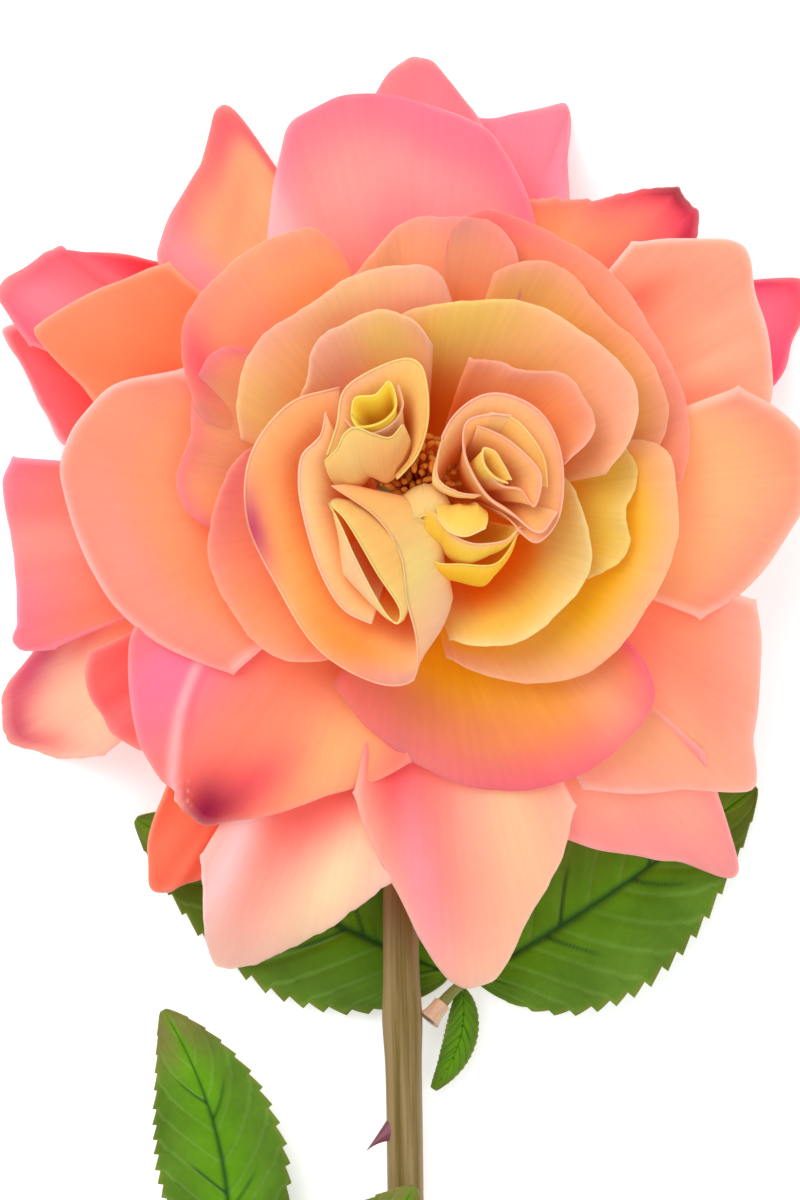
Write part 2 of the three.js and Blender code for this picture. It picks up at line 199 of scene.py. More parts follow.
def rosePetalMaterial():
    # Rose petal: thin living tissue, velvety and matt, that lets warm light through. Colour comes
    # from the tone attribute, pigment with painted shade and painted highlight in it, and the veins
    # follow the petal's own map.
    material, tree, shader = newMaterial("rosePetal")
    place = addNode(tree, "ShaderNodeTexCoord").outputs
    mottle = noise(tree, place["Object"], petalFinish["mottleSize"], 3.0)
    veins = streaked(tree, place["UV"], petalFinish["veinsAcross"], 2.5, 4.0, 0.6)
    both = maths(tree, "MULTIPLY_ADD", mottle, 0.55, veins)
    shaded = tonedBy(tree, remapped(tree, both, 0.45, 1.1, 0.93, 1.06))
    grain = noise(tree, place["Object"], petalFinish["grainSize"], 2.0)
    finishShader(tree, shader, shaded, maths(tree, "MULTIPLY_ADD", veins, 2.2, grain), 0.12, 0.25, {
        "Emission Strength": petalFinish["throughLight"], "Roughness": petalFinish["roughness"],
        "IOR": 1.4, "Specular IOR Level": 0.04, "Subsurface Weight": petalFinish["glow"],
        "Subsurface Scale": petalFinish["glowDepth"] * mm, "Subsurface Radius": (1.0, 0.55, 0.35),
        "Sheen Weight": 0.02, "Sheen Roughness": 0.5})
    tree.links.new(shaded, shader.inputs["Emission Color"])
    return material


def leafMaterial():
    # Rose leaf: waxy cuticle over a netted blade. Semi-gloss, with the small veins in relief.
    material, tree, shader = newMaterial("roseLeaf")
    place = addNode(tree, "ShaderNodeTexCoord").outputs
    patches = noise(tree, place["Object"], 9.0, 4.0)
    net = addNode(tree, "ShaderNodeTexVoronoi", {"feature": "DISTANCE_TO_EDGE"}, {
        "Vector": place["Object"], "Scale": 1000 / 1.9}).outputs["Distance"]
    netLine = remapped(tree, net, 0.0, 0.16, 1.05, 1.0)
    patchLight = remapped(tree, patches, 0.3, 0.7, 0.8, 1.2)
    shaded = tonedBy(tree, maths(tree, "MULTIPLY", netLine, patchLight))
    finishShader(tree, shader, shaded, net, 0.25, 0.2, {
        "Roughness": 0.42, "IOR": 1.42, "Specular IOR Level": 0.07, "Subsurface Weight": 0.15,
        "Subsurface Scale": 0.8 * mm, "Subsurface Radius": (0.6, 1.0, 0.3)})
    return material


def barkMaterial(name, dark, mid, pale, roughness=0.55, sideHighlight=0.0):
    # Green wood of a rose stem: ribbed skin with streaks along it and small corky spots. sideHighlight
    # makes its two sides paler than the strip along the top, a painted highlight.
    material, tree, shader = newMaterial(name)
    place = addNode(tree, "ShaderNodeTexCoord").outputs
    streaks = streaked(tree, place["UV"], 9, 0.35, 6.0, 0.65)
    around = addNode(tree, "ShaderNodeSeparateXYZ", {}, {"Vector": place["UV"]}).outputs["X"]
    side = maths(tree, "ABSOLUTE", maths(tree, "SUBTRACT", around, 0.25))
    colour = addNode(tree, "ShaderNodeValToRGB", {}, {
        "Fac": maths(tree, "MULTIPLY_ADD", side, sideHighlight, streaks)},
        [(0.32, dark), (0.68, pale), (0.5, mid)]).outputs["Color"]
    spots = noise(tree, place["Object"], 0.8, 2.0)
    relief = maths(tree, "MULTIPLY_ADD", spots, 0.5, streaks)
    finishShader(tree, shader, colour, relief, 0.35, 0.3, {"Roughness": roughness, "IOR": 1.45})
    return material


def stamenMaterial():
    # Anthers and filaments: dry pollen on amber threads, dull and grainy.
    material, tree, shader = newMaterial("stamenPollen")
    place = addNode(tree, "ShaderNodeTexCoord").outputs
    grains = noise(tree, place["Object"], 0.3, 2.0)
    shaded = tonedBy(tree, remapped(tree, grains, 0.3, 0.7, 0.7, 1.3))
    finishShader(tree, shader, shaded, grains, 0.5, 0.1, {"Roughness": 0.85})
    return material


def floorMaterial():
    # Matt white acrylic sweep, lit a little from below as a light table is.
    material, tree, shader = newMaterial("whiteAcrylic")
    shader.inputs["Base Color"].default_value = (0.86, 0.86, 0.87, 1)
    shader.inputs["Roughness"].default_value = 0.8
    shader.inputs["Emission Color"].default_value = (1, 1, 1, 1)
    shader.inputs["Emission Strength"].default_value = light["floorGlow"]
    return material


petalTissue = rosePetalMaterial()
leafBlade = leafMaterial()
stemBark = barkMaterial("roseStemBark", "#54440e", "#6c5819", "#957d50", sideHighlight=1.1)
thornBark = barkMaterial("roseThorn", "#5c2838", "#7c3e50", "#9a5a64", 0.42)
stalkBark = barkMaterial("leafStalkBark", "#4c5a1c", "#76803a", "#a39a5e")
collarBark = barkMaterial("leafCollarBark", "#b58a62", "#d9b496", "#eccdb8", 0.6)
pollen = stamenMaterial()


def place(points):
    # millimetres about the bloom's axis, to metres in the shared frame
    return points * mm + np.array([axisX, axisY, 0.0])


def newPiece(name, points, faces, material, node, uv, tone=None):
    mesh = bpy.data.meshes.new(name)
    mesh.from_pydata(place(points).tolist(), [], faces)
    mesh.polygons.foreach_set("use_smooth", np.ones(len(mesh.polygons), bool))
    corner = np.zeros(len(mesh.loops), np.int32)
    mesh.loops.foreach_get("vertex_index", corner)
    layer = mesh.uv_layers.new(name="surface")
    layer.data.foreach_set("uv", uv[corner].astype(np.float32).ravel())
    if tone is not None:
        layer = mesh.attributes.new("tone", "FLOAT_COLOR", "POINT")
        rgba = np.concatenate([tone, np.ones((len(tone), 1))], axis=1)
        layer.data.foreach_set("color", rgba.astype(np.float32).ravel())
    mesh.materials.append(material)
    mesh.update()
    piece = addObject(name, mesh)
    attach(piece, "root")
    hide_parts(node)


def gridFaces(rows, columns, offset, flip):
    # quads of a grid numbered row by row
    first = (np.arange(rows - 1)[:, None] * columns + np.arange(columns - 1)).ravel() + offset
    quads = np.stack([first, first + columns, first + columns + 1, first + 1], axis=1)
    return quads[:, ::-1] if flip else quads


def surfaceNormals(points):
    # along crossed with across, row by row
    along = np.gradient(points, axis=0)
    across = np.gradient(points, axis=1)
    normal = np.cross(along, across)
    return normal / np.maximum(np.linalg.norm(normal, axis=2, keepdims=True), 1e-9)


def addSheet(name, points, thickness, upperTone, lowerTone, material, node):
    # A closed thin shell about a grid of points: the upper and lower face stand half a thickness
    # off the grid along its normal, and a ring just outside the border rounds the edge.
    rows, columns = points.shape[:2]
    half = thickness / 2 if np.ndim(thickness) else thickness / 2 * np.ones((rows, columns))
    lift = surfaceNormals(points) * half[:, :, None]
    total = rows * columns
    number = np.arange(total).reshape(rows, columns)
    border = np.concatenate([
        number[:-1, 0], number[-1, :-1], number[:0:-1, -1], number[0, :0:-1]])
    inside = np.concatenate([
        number[:-1, 1], number[-2, :-1], number[:0:-1, -2], number[1, :0:-1]])
    flat = points.reshape(-1, 3)
    outward = flat[border] - flat[inside]
    outward /= np.maximum(np.linalg.norm(outward, axis=1, keepdims=True), 1e-9)
    ring = flat[border] + outward * half.ravel()[border][:, None]
    vertices = np.concatenate([(points + lift).reshape(-1, 3), (points - lift).reshape(-1, 3), ring])
    here = np.arange(len(border))
    after = np.roll(here, -1)
    upperStrip = np.stack([
        border[after], border[here], 2 * total + here, 2 * total + after], axis=1)
    lowerStrip = np.stack([
        2 * total + after, 2 * total + here, total + border[here], total + border[after]], axis=1)
    faces = np.concatenate([
        gridFaces(rows, columns, 0, False), gridFaces(rows, columns, total, True),
        upperStrip, lowerStrip])
    upper, lower = upperTone.reshape(-1, 3), lowerTone.reshape(-1, 3)
    tone = np.concatenate([upper, lower, (upper[border] + lower[border]) / 2])
    across, along = np.meshgrid(np.linspace(0, 1, columns), np.linspace(0, 1, rows))
    uvGrid = np.stack([across.ravel(), along.ravel()], axis=1)
    uv = np.concatenate([uvGrid, uvGrid, uvGrid[border]])
    newPiece(name, vertices, faces.tolist(), material, node, uv, tone)


def splineThrough(points, count):
    # A smooth curve through all the points: between two of them a cubic whose end slopes come from
    # their neighbours, weighted by the square root of the distances, as centripetal curves are.
    points = np.array(points, float)
    ends = np.concatenate([[2 * points[0] - points[1]], points, [2 * points[-1] - points[-2]]])
    gap = np.sqrt(np.linalg.norm(np.diff(ends, axis=0), axis=1))[:, None]
    before, start, stop, beyond = ends[:-3], ends[1:-2], ends[2:-1], ends[3:]
    g0, g1, g2 = gap[:-2], gap[1:-1], gap[2:]
    leave = ((start - before) / g0 - (stop - before) / (g0 + g1) + (stop - start) / g1) * g1
    arrive = ((stop - start) / g1 - (beyond - start) / (g1 + g2) + (beyond - stop) / g2) * g1
    place = np.linspace(0, len(points) - 1, count)
    span = np.minimum(place.astype(int), len(points) - 2)
    t = (place - span)[:, None]
    return ((2 * t ** 3 - 3 * t ** 2 + 1) * start[span] + (t ** 3 - 2 * t ** 2 + t) * leave[span]
            + (3 * t ** 2 - 2 * t ** 3) * stop[span] + (t ** 3 - t ** 2) * arrive[span])


def evenPath(points, count):
    # the same smooth curve with its points spaced evenly along its length
    fine = splineThrough(points, 40 * len(points))
    run = np.concatenate([[0], np.cumsum(np.linalg.norm(np.diff(fine, axis=0), axis=1))])
    want = np.linspace(0, run[-1], count)
    return np.stack([np.interp(want, run, fine[:, axis]) for axis in range(fine.shape[1])], axis=1)


# A petal leans out by a share of its lean that starts at upright, and grows with the distance over
# the span to the given power. Below the ease height it settles on to the surface.
bow = {"span": 60, "upright": 0.71, "power": 1.2, "ease": 4.0}
petal = {
    "thickness": 0.42, "baseThickness": 0.2, "clawShare": 0.35, "clawLength": 14,
    "tipRound": 0.16, "rimThinning": 0.55, "restHeight": 1.4, "columns": 73, "rows": 49,
}


def eased(height, soft):
    # a height that eases on to the surface once it is below the soft height, and stays above it
    return np.where(height > soft, height, soft * np.exp(np.minimum(height, soft) / soft - 1))


def bowShare(distance):
    # the share of its lean that a petal has at a distance from the middle of the hip
    outward = np.maximum(0, distance - hip["radius"]) / bow["span"]
    return bow["upright"] + (1 - bow["upright"]) * outward ** bow["power"]


def bowedPoint(lean, turn, distance):
    # Polar coordinates about the hip. The share of the lean grows with the distance, so petals bow
    # outwards, and near the surface the height eases on to it.
    angle = np.radians(lean * bowShare(distance))
    radius = distance * np.sin(angle)
    height = eased(hip["height"] + distance * np.cos(angle), bow["ease"])
    heading = np.radians(turn)
    return np.stack([radius * np.cos(heading), radius * np.sin(heading), height], axis=-1)


def clawWidth(distance):
    widened = smooth((distance - hip["radius"]) / petal["clawLength"])
    return petal["clawShare"] + (1 - petal["clawShare"]) * widened


def unit(vectors):
    return vectors / np.maximum(np.linalg.norm(vectors, axis=-1, keepdims=True), 1e-9)


def corneredRim(p, u):
    # Straight runs between the few corners (u, distance out from the axis), each corner rounded by
    # averaging over a small window. Dividing by the sine of the bow turns it into a reach.
    at, out = np.array(p["corners"], float).T
    window = p["cornerRound"]
    reads = [np.interp(u + step * window, at, out) for step in np.linspace(-1, 1, 7)]
    out = np.mean(reads, axis=0)
    return out / np.sin(np.radians(p["lean"] * bowShare(out)))


# What a fan petal has unless its own dictionary says otherwise. Each also has turn, its heading in
# degrees, half, its half spread, lean, its angle from upright, and tones: throat, body and rim.
# reach: how far out the rim goes at its furthest point. side: the share of that at its sides.
# square: how boxy the rim's two sides are. roll, rollTurn, sideRoll and sideTurn: the arcs that the
# rim and the sides roll over on.
# creases (u, width, lift) and ridges (u, slant, width, lift, hex, strength) run along the petal,
# dents (u, v, width, length, depth) and patches (u, v, width, length, hex, strength) are spots.
# edge, edgeWidth and edgeHighlight: a pale rim of the edge colour, painted as the highlight on the
# rolled edges. shade: a factor that darkens the whole petal as painted shade.
fan = {
    "skew": 0, "square": [1, 1], "reach": 1, "side": 1, "scallop": 0, "ragged": 0, "cornerRound": 0.05,
    "roll": 1.2, "rollTurn": 55, "sideRoll": (0.9, 0.9), "sideTurn": 60, "cup": 4,
    "wave": 0.8, "waves": 1.5, "ripple": 0.4, "creases": [], "ridges": [], "dents": [], "patches": [],
    "bodySpan": (0.15, 0.65), "rimFrom": 0.72, "edgeWidth": 0.035, "edge": "#ffd0c4", "edgeHighlight": 0.2,
    "shade": 1,
}


def spot(u, v, atU, atV, width, length):
    # a soft round bump of height 1
    return np.exp(-((u - atU) / width) ** 2 - ((v - atV) / length) ** 2)


def crest(u, v, at, width, slant=0):
    # a soft line of height 1 that runs up the petal, and may slant
    return np.exp(-((u - at - slant * (1 - v)) / width) ** 2)


def fanSurface(p, seed):
    # A petal that opens like a fan from the hip. u runs across (-1 to 1), v from the claw to the
    # rim. The rim falls back on both sides of its furthest point. Sides can be cupped up, the rim
    # waved, creased and ragged, and its last stretch rolls over on an arc, sides too.
    u, v = np.meshgrid(np.linspace(-1, 1, petal["columns"]), np.linspace(0, 1, petal["rows"]))
    skew = p["skew"]
    fromPeak = (u - skew) / np.where(u > skew, 1 - skew, 1 + skew)
    leftPower, rightPower = p["square"]
    power = np.where(u > skew, rightPower, leftPower)
    blunt = petal["tipRound"]
    fallen = (np.hypot(fromPeak, blunt) - blunt) / (math.hypot(1, blunt) - blunt)
    rim = p["reach"] * (1 - (1 - p["side"]) * fallen ** power)
    if "corners" in p:
        rim = corneredRim(p, u)
    phase = np.random.default_rng(seed).uniform(0, 2 * math.pi, 8)
    rim += p["scallop"] * (np.sin(2.6 * u + phase[3]) + 0.45 * np.sin(5.3 * u + phase[4]))
    rim += p["ragged"] * (
        np.sin(23 * u + phase[0]) + 0.7 * np.sin(41 * u + phase[1]) + 0.5 * np.sin(67 * u + phase[2]))
    start = hip["radius"] + hip["seatGap"]
    rollRadius, rollTurn = p["roll"], math.radians(p["rollTurn"])
    used = rollRadius * (math.sin(rollTurn) if rollTurn < math.pi / 2 else 1)
    flatEnd = rim - used
    run = v * (flatEnd - start + rollRadius * rollTurn)
    flatRun = np.minimum(run, flatEnd - start)
    rolled = (run - flatRun) / rollRadius
    distance = start + flatRun
    share = flatRun / (flatEnd - start)

    halfWidth = distance * np.sin(np.radians(p["lean"])) * np.radians(p["half"]) * clawWidth(distance)
    leftRoll, rightRoll = p["sideRoll"]
    sideRadius = np.minimum(np.where(u < 0, leftRoll, rightRoll), 0.3 * halfWidth)
    sideTurn = math.radians(p["sideTurn"])
    flatShare = 1 - sideRadius * min(1, math.sin(min(sideTurn, math.pi / 2))) / halfWidth
    flatU = np.clip(u, -flatShare, flatShare)
    sideways = sideTurn * np.clip((np.abs(u) - flatShare) / (1 - flatShare), 0, 1)

    def base(across, far):
        part = (far - start) / (flatEnd - start)
        lean = p["lean"] - p["cup"] * across ** 2 * smooth(part)
        lean = lean + p["wave"] * part ** 3 * (
            np.sin(p["waves"] * math.pi * across + phase[3])
            + 0.5 * np.sin(2.3 * p["waves"] * math.pi * across + phase[4]))
        for at, width, lift in p["creases"]:
            lean = lean - lift * crest(across, part, at, width) * part ** 1.5
        for at, slant, width, lift, _, _ in p["ridges"]:
            lean = lean - lift * crest(across, part, at, width, slant) * part ** 1.5
        return bowedPoint(lean, p["turn"] + p["half"] * across * clawWidth(far), far)

    middle = base(flatU, distance)
    along = unit(base(flatU, distance + 0.05) - middle)
    across = unit(base(flatU + 0.002, distance) - middle)
    across = unit(across - along * np.sum(across * along, axis=-1, keepdims=True))
    up = np.cross(along, across)
    arc = rolled[..., None]
    bend = sideways[..., None]
    points = (middle + along * rollRadius * np.sin(arc) - up * rollRadius * (1 - np.cos(arc))
              + across * (np.sign(u) * sideRadius * np.sin(sideways))[..., None]
              - up * sideRadius[..., None] * (1 - np.cos(bend)))
    ripple = p["ripple"] * share * (
        np.sin(4 * u + 6 * v + phase[5]) * np.sin(5 * v - 3 * u + phase[6])
        + 0.3 * np.sin(11 * u + 5 * v + phase[7]) * np.sin(9 * v + phase[0]))
    for *where, depth in p["dents"]:
        ripple = ripple - depth * spot(u, v, *where)
    points = points + up * ripple[..., None]
    points[..., 2] = eased(points[..., 2], petal["restHeight"])
    return points, u, v


def mix(a, b, share):
    return a + (b - a) * share[..., None]


# blush and glow change the petal's own tone across it; backShade paints the lower face darker and
# redder, as painted shade and the light coming through the petal
petalPigmentAndShade = {"blush": 0.45, "glow": 0.16, "backShade": [1.0, 0.72, 0.7]}


def petalTones(p, u, v):
    # Colour: throat at the claw, body, then the rim's own colour, with a painted highlight paler along
    # the rolled edges, the listed patches and ridges, and a soft blush and glow over the whole petal.
    # shade darkens it all as painted shade, and the lower face is painted darker and redder as the
    # shade on it and the light coming through the petal.
    throat, body, rim = (linearColour(code) for code in p["tones"])
    bodyFrom, bodyTo = p["bodySpan"]
    upper = mix(throat * np.ones(u.shape + (3,)), body, smooth((v - bodyFrom) / (bodyTo - bodyFrom)))
    rimFrom = p["rimFrom"]
    upper = mix(upper, rim, smooth((v - rimFrom) / (1.02 - rimFrom)))
    blush = 0.5 + 0.5 * np.sin(2.3 * u + p["turn"]) * np.sin(4.1 * v + 0.7 * p["turn"] + 1.9 * u)
    upper = mix(upper, rim, petalPigmentAndShade["blush"] * smooth(2 * blush - 1) * smooth((v - 0.3) / 0.3))
    glow = smooth(1 - 2 * blush) * smooth((v - 0.3) / 0.3)
    upper = mix(upper, throat, petalPigmentAndShade["glow"] * glow)
    for *where, code, strength in p["patches"]:
        upper = mix(upper, linearColour(code), strength * spot(u, v, *where))
    for at, slant, width, _, code, strength in p["ridges"]:
        near = crest(u, v, at, width, slant) * smooth((v - 0.4) / 0.3)
        upper = mix(upper, linearColour(code), strength * near)
    # a pale rim of the edge colour painted as the highlight on the rolled edges, then painted shade
    # over the whole face by the shade factor
    wide = p["edgeWidth"]
    sideEdge = smooth((np.abs(u) - 1 + 1.5 * wide) / (1.5 * wide))
    edge = np.maximum(sideEdge, smooth((v - 1 + wide) / wide))
    upper = mix(upper, linearColour(p["edge"]), p["edgeHighlight"] * edge) * p["shade"]
    # the lower face is painted darker and redder as shade and light through the petal
    return upper, upper * np.array(petalPigmentAndShade["backShade"])


def addFanPetal(name, node, p, seed):
    p = dict(fan, **p)
    points, u, v = fanSurface(p, seed)
    upper, lower = petalTones(p, u, v)
    growth = smooth(v / 0.4)
    thickness = petal["baseThickness"] + (petal["thickness"] - petal["baseThickness"]) * growth
    thickness = thickness * (1 - petal["rimThinning"] * smooth((v - 0.8) / 0.2))
    addSheet(name, points, thickness, upper, lower, petalTissue, node)


def addFanPetals(family, slot, petals):
    for index, p in enumerate(petals):
        addFanPetal(f"{family}{index + 1}", f"{slot}_{index + 1}", p, 100 * len(petals) + index)
    print(family, len(petals))


# corners: where the rim turns, as (u, distance out from the axis seen from above)
guardPetals = [
    dict(turn=27, half=12, lean=103, tones=["#fd9a7c", "#fe6c86", "#ee4c72"],
         corners=[(-1, 55), (-0.6, 62.5), (-0.2, 69), (0.15, 75.5), (0.34, 75), (0.6, 66), (1, 60)],
         patches=[(0.5, 0.98, 0.4, 0.05, "#c22a54", 0.7)]),
    dict(turn=75, half=13, lean=103, tones=["#fd9a86", "#fe8089", "#fd7489"],
         corners=[(-1, 50), (-0.85, 55), (-0.57, 63.5), (-0.5, 69), (-0.4, 72), (-0.28, 71),
                  (0.27, 66.3), (1, 64)], patches=[(-0.8, 0.8, 0.25, 0.4, "#ff96a8", 0.7)],
         creases=[(-0.45, 0.08, -1.2)]),
    dict(turn=89, half=12, lean=100, tones=["#fd9080", "#fd7c82", "#f96c7a"],
         corners=[(-1, 56), (-0.57, 65.6), (-0.3, 70.5), (-0.05, 75), (0.15, 75.3), (0.47, 71.3),
                  (1, 60)]),
    dict(turn=146, half=11, lean=99, tones=["#fd8a70", "#fb6874", "#f4506a"],
         corners=[(-1, 55), (-0.76, 59.5), (-0.05, 75.5), (0.1, 76.5), (0.43, 79), (0.65, 79), (1, 68)],
         patches=[(-0.75, 0.88, 0.45, 0.3, "#dc2430", 0.97), (0.45, 0.8, 0.3, 0.3, "#fe7e88", 0.6)],
         creases=[(-0.2, 0.07, 1.6)]),
    dict(turn=163, half=9, lean=103, tones=["#fd7048", "#fe4a40", "#fb5c66"],
         corners=[(-1, 70), (-0.7, 75.4), (-0.3, 71), (0.42, 62.6), (1, 56)], sideRoll=(0.9, 1.8),
         edge="#ffc4cc", edgeHighlight=0.6),
    dict(turn=207, half=11, lean=103, tones=["#fd9a70", "#ffbe9e", "#fcb09c"],
         corners=[(-1, 64), (-0.63, 68.3), (-0.3, 75.5), (0, 79), (0.25, 79.8), (0.71, 72), (1, 65)],
         patches=[(-0.45, 0.93, 0.45, 0.12, "#b83264", 0.85), (0.15, 0.96, 0.5, 0.07, "#b02c5c", 0.8),
                  (-0.6, 0.76, 0.3, 0.05, "#e0607c", 0.5)], ragged=0.12),
    dict(turn=236, half=9, lean=95, tones=["#fd8a60", "#fe7454", "#fb6850"],
         corners=[(-1, 58), (-0.8, 63), (-0.5, 72), (-0.2, 76.5), (-0.05, 77), (0.1, 75), (0.43, 70.3),
                  (1, 66)], creases=[(0.15, 0.12, 1.5)]),
    dict(turn=252, half=14, lean=92, tones=["#fb6a58", "#ff9a8a", "#ffb4a6"],
         corners=[(-1, 66), (-0.81, 71.4), (-0.48, 82), (-0.38, 83.8), (-0.26, 82.5), (-0.06, 78.7),
                  (0.54, 67.4), (1, 60)], ragged=0.14, rimFrom=0.66, cornerRound=0.08,
         patches=[(0.35, 0.86, 0.4, 0.16, "#ffd2a8", 0.9), (-0.75, 0.85, 0.2, 0.2, "#ffc8ca", 0.8),
                  (0.0, 0.6, 1.4, 0.09, "#fd6258", 0.8)]),
    dict(turn=306, half=13, lean=93.5, tones=["#ffa07c", "#ffa98c", "#fe8c8c"],
         corners=[(-1, 58), (-0.9, 59.2), (0.04, 72), (0.27, 79.8), (0.38, 81), (0.47, 79),
                  (0.74, 67.2), (1, 60)]),
]

outerPetals = [
    dict(turn=32, half=19, lean=93, tones=["#fd9a60", "#ff9878", "#ff9880"],
         corners=[(-1, 56), (-0.79, 59.5), (-0.44, 61.7), (0, 64.3), (0.26, 67.5), (0.43, 67.2),
                  (0.65, 61.5), (1, 54)], cornerRound=0.09, sideRoll=(2.0, 0.9),
         patches=[(-0.3, 0.75, 0.3, 0.2, "#ffae8c", 0.8), (0.55, 0.72, 0.2, 0.12, "#ee6c52", 0.6),
                  (-0.2, 0.78, 0.1, 0.2, "#f27a62", 0.35)], creases=[(0.35, 0.2, 1.4)],
         dents=[(0.55, 0.7, 0.16, 0.1, 1.6), (-0.15, 0.76, 0.1, 0.1, 1.0)], edge="#ffd0c8",
         edgeHighlight=0.6),
    dict(turn=57, half=14, lean=97, tones=["#fdaa5c", "#fd8266", "#ee4062"],
         corners=[(-1, 58), (-0.9, 63), (-0.73, 66.5), (-0.4, 67.5), (0.17, 58), (0.91, 52.5),
                  (1, 51.5)], ragged=0.16, rimFrom=0.78,
         patches=[(0.7, 0.75, 0.6, 0.3, "#fea066", 0.9), (-0.45, 0.98, 0.35, 0.05, "#6c0e2c", 0.95),
                  (-0.88, 0.94, 0.22, 0.1, "#96203e", 0.85)]),
    dict(turn=93, half=27, lean=93, tones=["#fd7c44", "#ff8e86", "#fe6a80"],
         corners=[(-1, 46), (-0.84, 52), (-0.5, 62), (0, 68), (0.3, 68.5), (0.57, 66), (1, 49)], cup=5,
         roll=2.4, rollTurn=60, sideRoll=(1.2, 2.2),
         patches=[(0.92, 0.82, 0.18, 0.3, "#ffbcbc", 0.9), (0.1, 0.74, 0.6, 0.1, "#ff9a94", 0.5),
                  (-0.2, 0.9, 0.5, 0.06, "#fd6a80", 0.5)], creases=[(0.62, 0.1, 0.8)]),
    dict(turn=124, half=14, lean=96, tones=["#fd9860", "#ffa074", "#fb5c64"],
         corners=[(-1, 52), (-0.8, 58), (-0.66, 70.5), (-0.6, 73), (-0.48, 73.2), (-0.11, 66.8),
                  (0.85, 59), (1, 56)], rimFrom=0.82, cornerRound=0.04,
         patches=[(-0.5, 0.93, 0.45, 0.07, "#fb5a62", 0.95), (0.7, 0.8, 0.3, 0.3, "#fe8696", 0.8),
                  (-0.2, 0.8, 0.5, 0.06, "#f08464", 0.6)]),
    dict(turn=151, half=15, lean=93, tones=["#fe6430", "#fb7a50", "#f0805e"],
         corners=[(-1, 56), (-0.46, 61.5), (0.2, 68.5), (0.32, 69.8), (0.42, 66), (0.6, 58), (1, 50)],
         patches=[(0.1, 0.6, 0.25, 0.1, "#fd6038", 0.6)], cornerRound=0.04),
    dict(turn=187, half=14, lean=98, tones=["#fe6a3c", "#fe7c62", "#fe6c80"],
         corners=[(-1, 66), (-0.77, 68), (-0.37, 68), (0, 67), (0.68, 68.3), (0.78, 70.4), (0.94, 68.8),
                  (1, 62)], edge="#ff9cb0", edgeHighlight=0.6,
         patches=[(-0.1, 0.86, 0.4, 0.2, "#ff8e82", 0.7)]),
    dict(turn=186, half=36, lean=83.5, tones=["#fd7c34", "#fd946a", "#fe8478"],
         corners=[(-1, 43), (-0.9, 46), (-0.75, 53), (-0.52, 56.8), (-0.33, 58), (-0.2, 56.6),
                  (0.3, 51.8), (0.61, 47.1), (1, 40)], roll=2.2, rollTurn=75, edge="#ffb6ae",
         edgeHighlight=0.8, edgeWidth=0.06,
         patches=[(0.1, 0.85, 0.7, 0.1, "#ff8e82", 0.7), (-0.6, 0.9, 0.3, 0.12, "#fc9070", 0.7)],
         creases=[(0.2, 0.12, 0.5), (-0.5, 0.1, 0.5)]),
    dict(turn=235, half=33, lean=86.5, tones=["#fd9a50", "#fc8068", "#fd6c6c"],
         corners=[(-1, 48), (-0.92, 51.1), (-0.43, 59.3), (-0.12, 61.4), (0.03, 62.2), (0.12, 59),
                  (0.52, 48.6), (1, 41)], roll=1.6, cornerRound=0.03,
         patches=[(0.5, 0.8, 0.35, 0.3, "#ffae74", 0.9), (-0.62, 0.85, 0.3, 0.3, "#ff7698", 0.9),
                  (0.12, 0.85, 0.22, 0.14, "#f04e5c", 0.7), (0.0, 0.95, 0.15, 0.11, "#78103a", 0.97)],
         ridges=[(-0.15, -1.7, 0.045, 2.2, "#ffb0b0", 0.7)], creases=[(0.35, 0.1, 0.5)]),
    dict(turn=277, half=20, lean=89, tones=["#fb5848", "#fe9282", "#ffb49e"],
         corners=[(-1, 47), (-0.94, 49), (-0.5, 62.6), (-0.2, 77), (-0.11, 79), (0.1, 78.3),
                  (0.2, 75.5), (0.42, 68), (0.76, 60.7), (1, 54)], ragged=0.08,
         patches=[(-0.7, 0.58, 0.45, 0.3, "#f8404c", 0.95), (0.5, 0.75, 0.35, 0.3, "#ffbe94", 0.85),
                  (-0.35, 0.85, 0.2, 0.2, "#ff94a0", 0.8)]),
    dict(turn=322, half=22, lean=90.5, tones=["#ffa058", "#ff9472", "#ff9e90"],
         corners=[(-1, 52.5), (-0.42, 62.3), (-0.2, 69), (-0.1, 71.5), (-0.02, 70), (0.13, 65.7),
                  (0.75, 59), (1, 56)], cornerRound=0.04,
         patches=[(-0.45, 0.7, 0.4, 0.25, "#ffb27e", 0.7), (0.3, 0.7, 0.25, 0.3, "#ff8870", 0.5)],
         edge="#ffc4c0", edgeHighlight=0.5),
    dict(turn=359, half=21, lean=88, tones=["#ff9a58", "#ffb07e", "#ff8a7a"],
         corners=[(-1, 48), (-0.7, 53.4), (-0.2, 59), (0.1, 62.6), (0.5, 63.6), (0.75, 60), (1, 54)],
         roll=2.0, cornerRound=0.1, edge="#ffc4b4", edgeHighlight=0.6, edgeWidth=0.06),
]
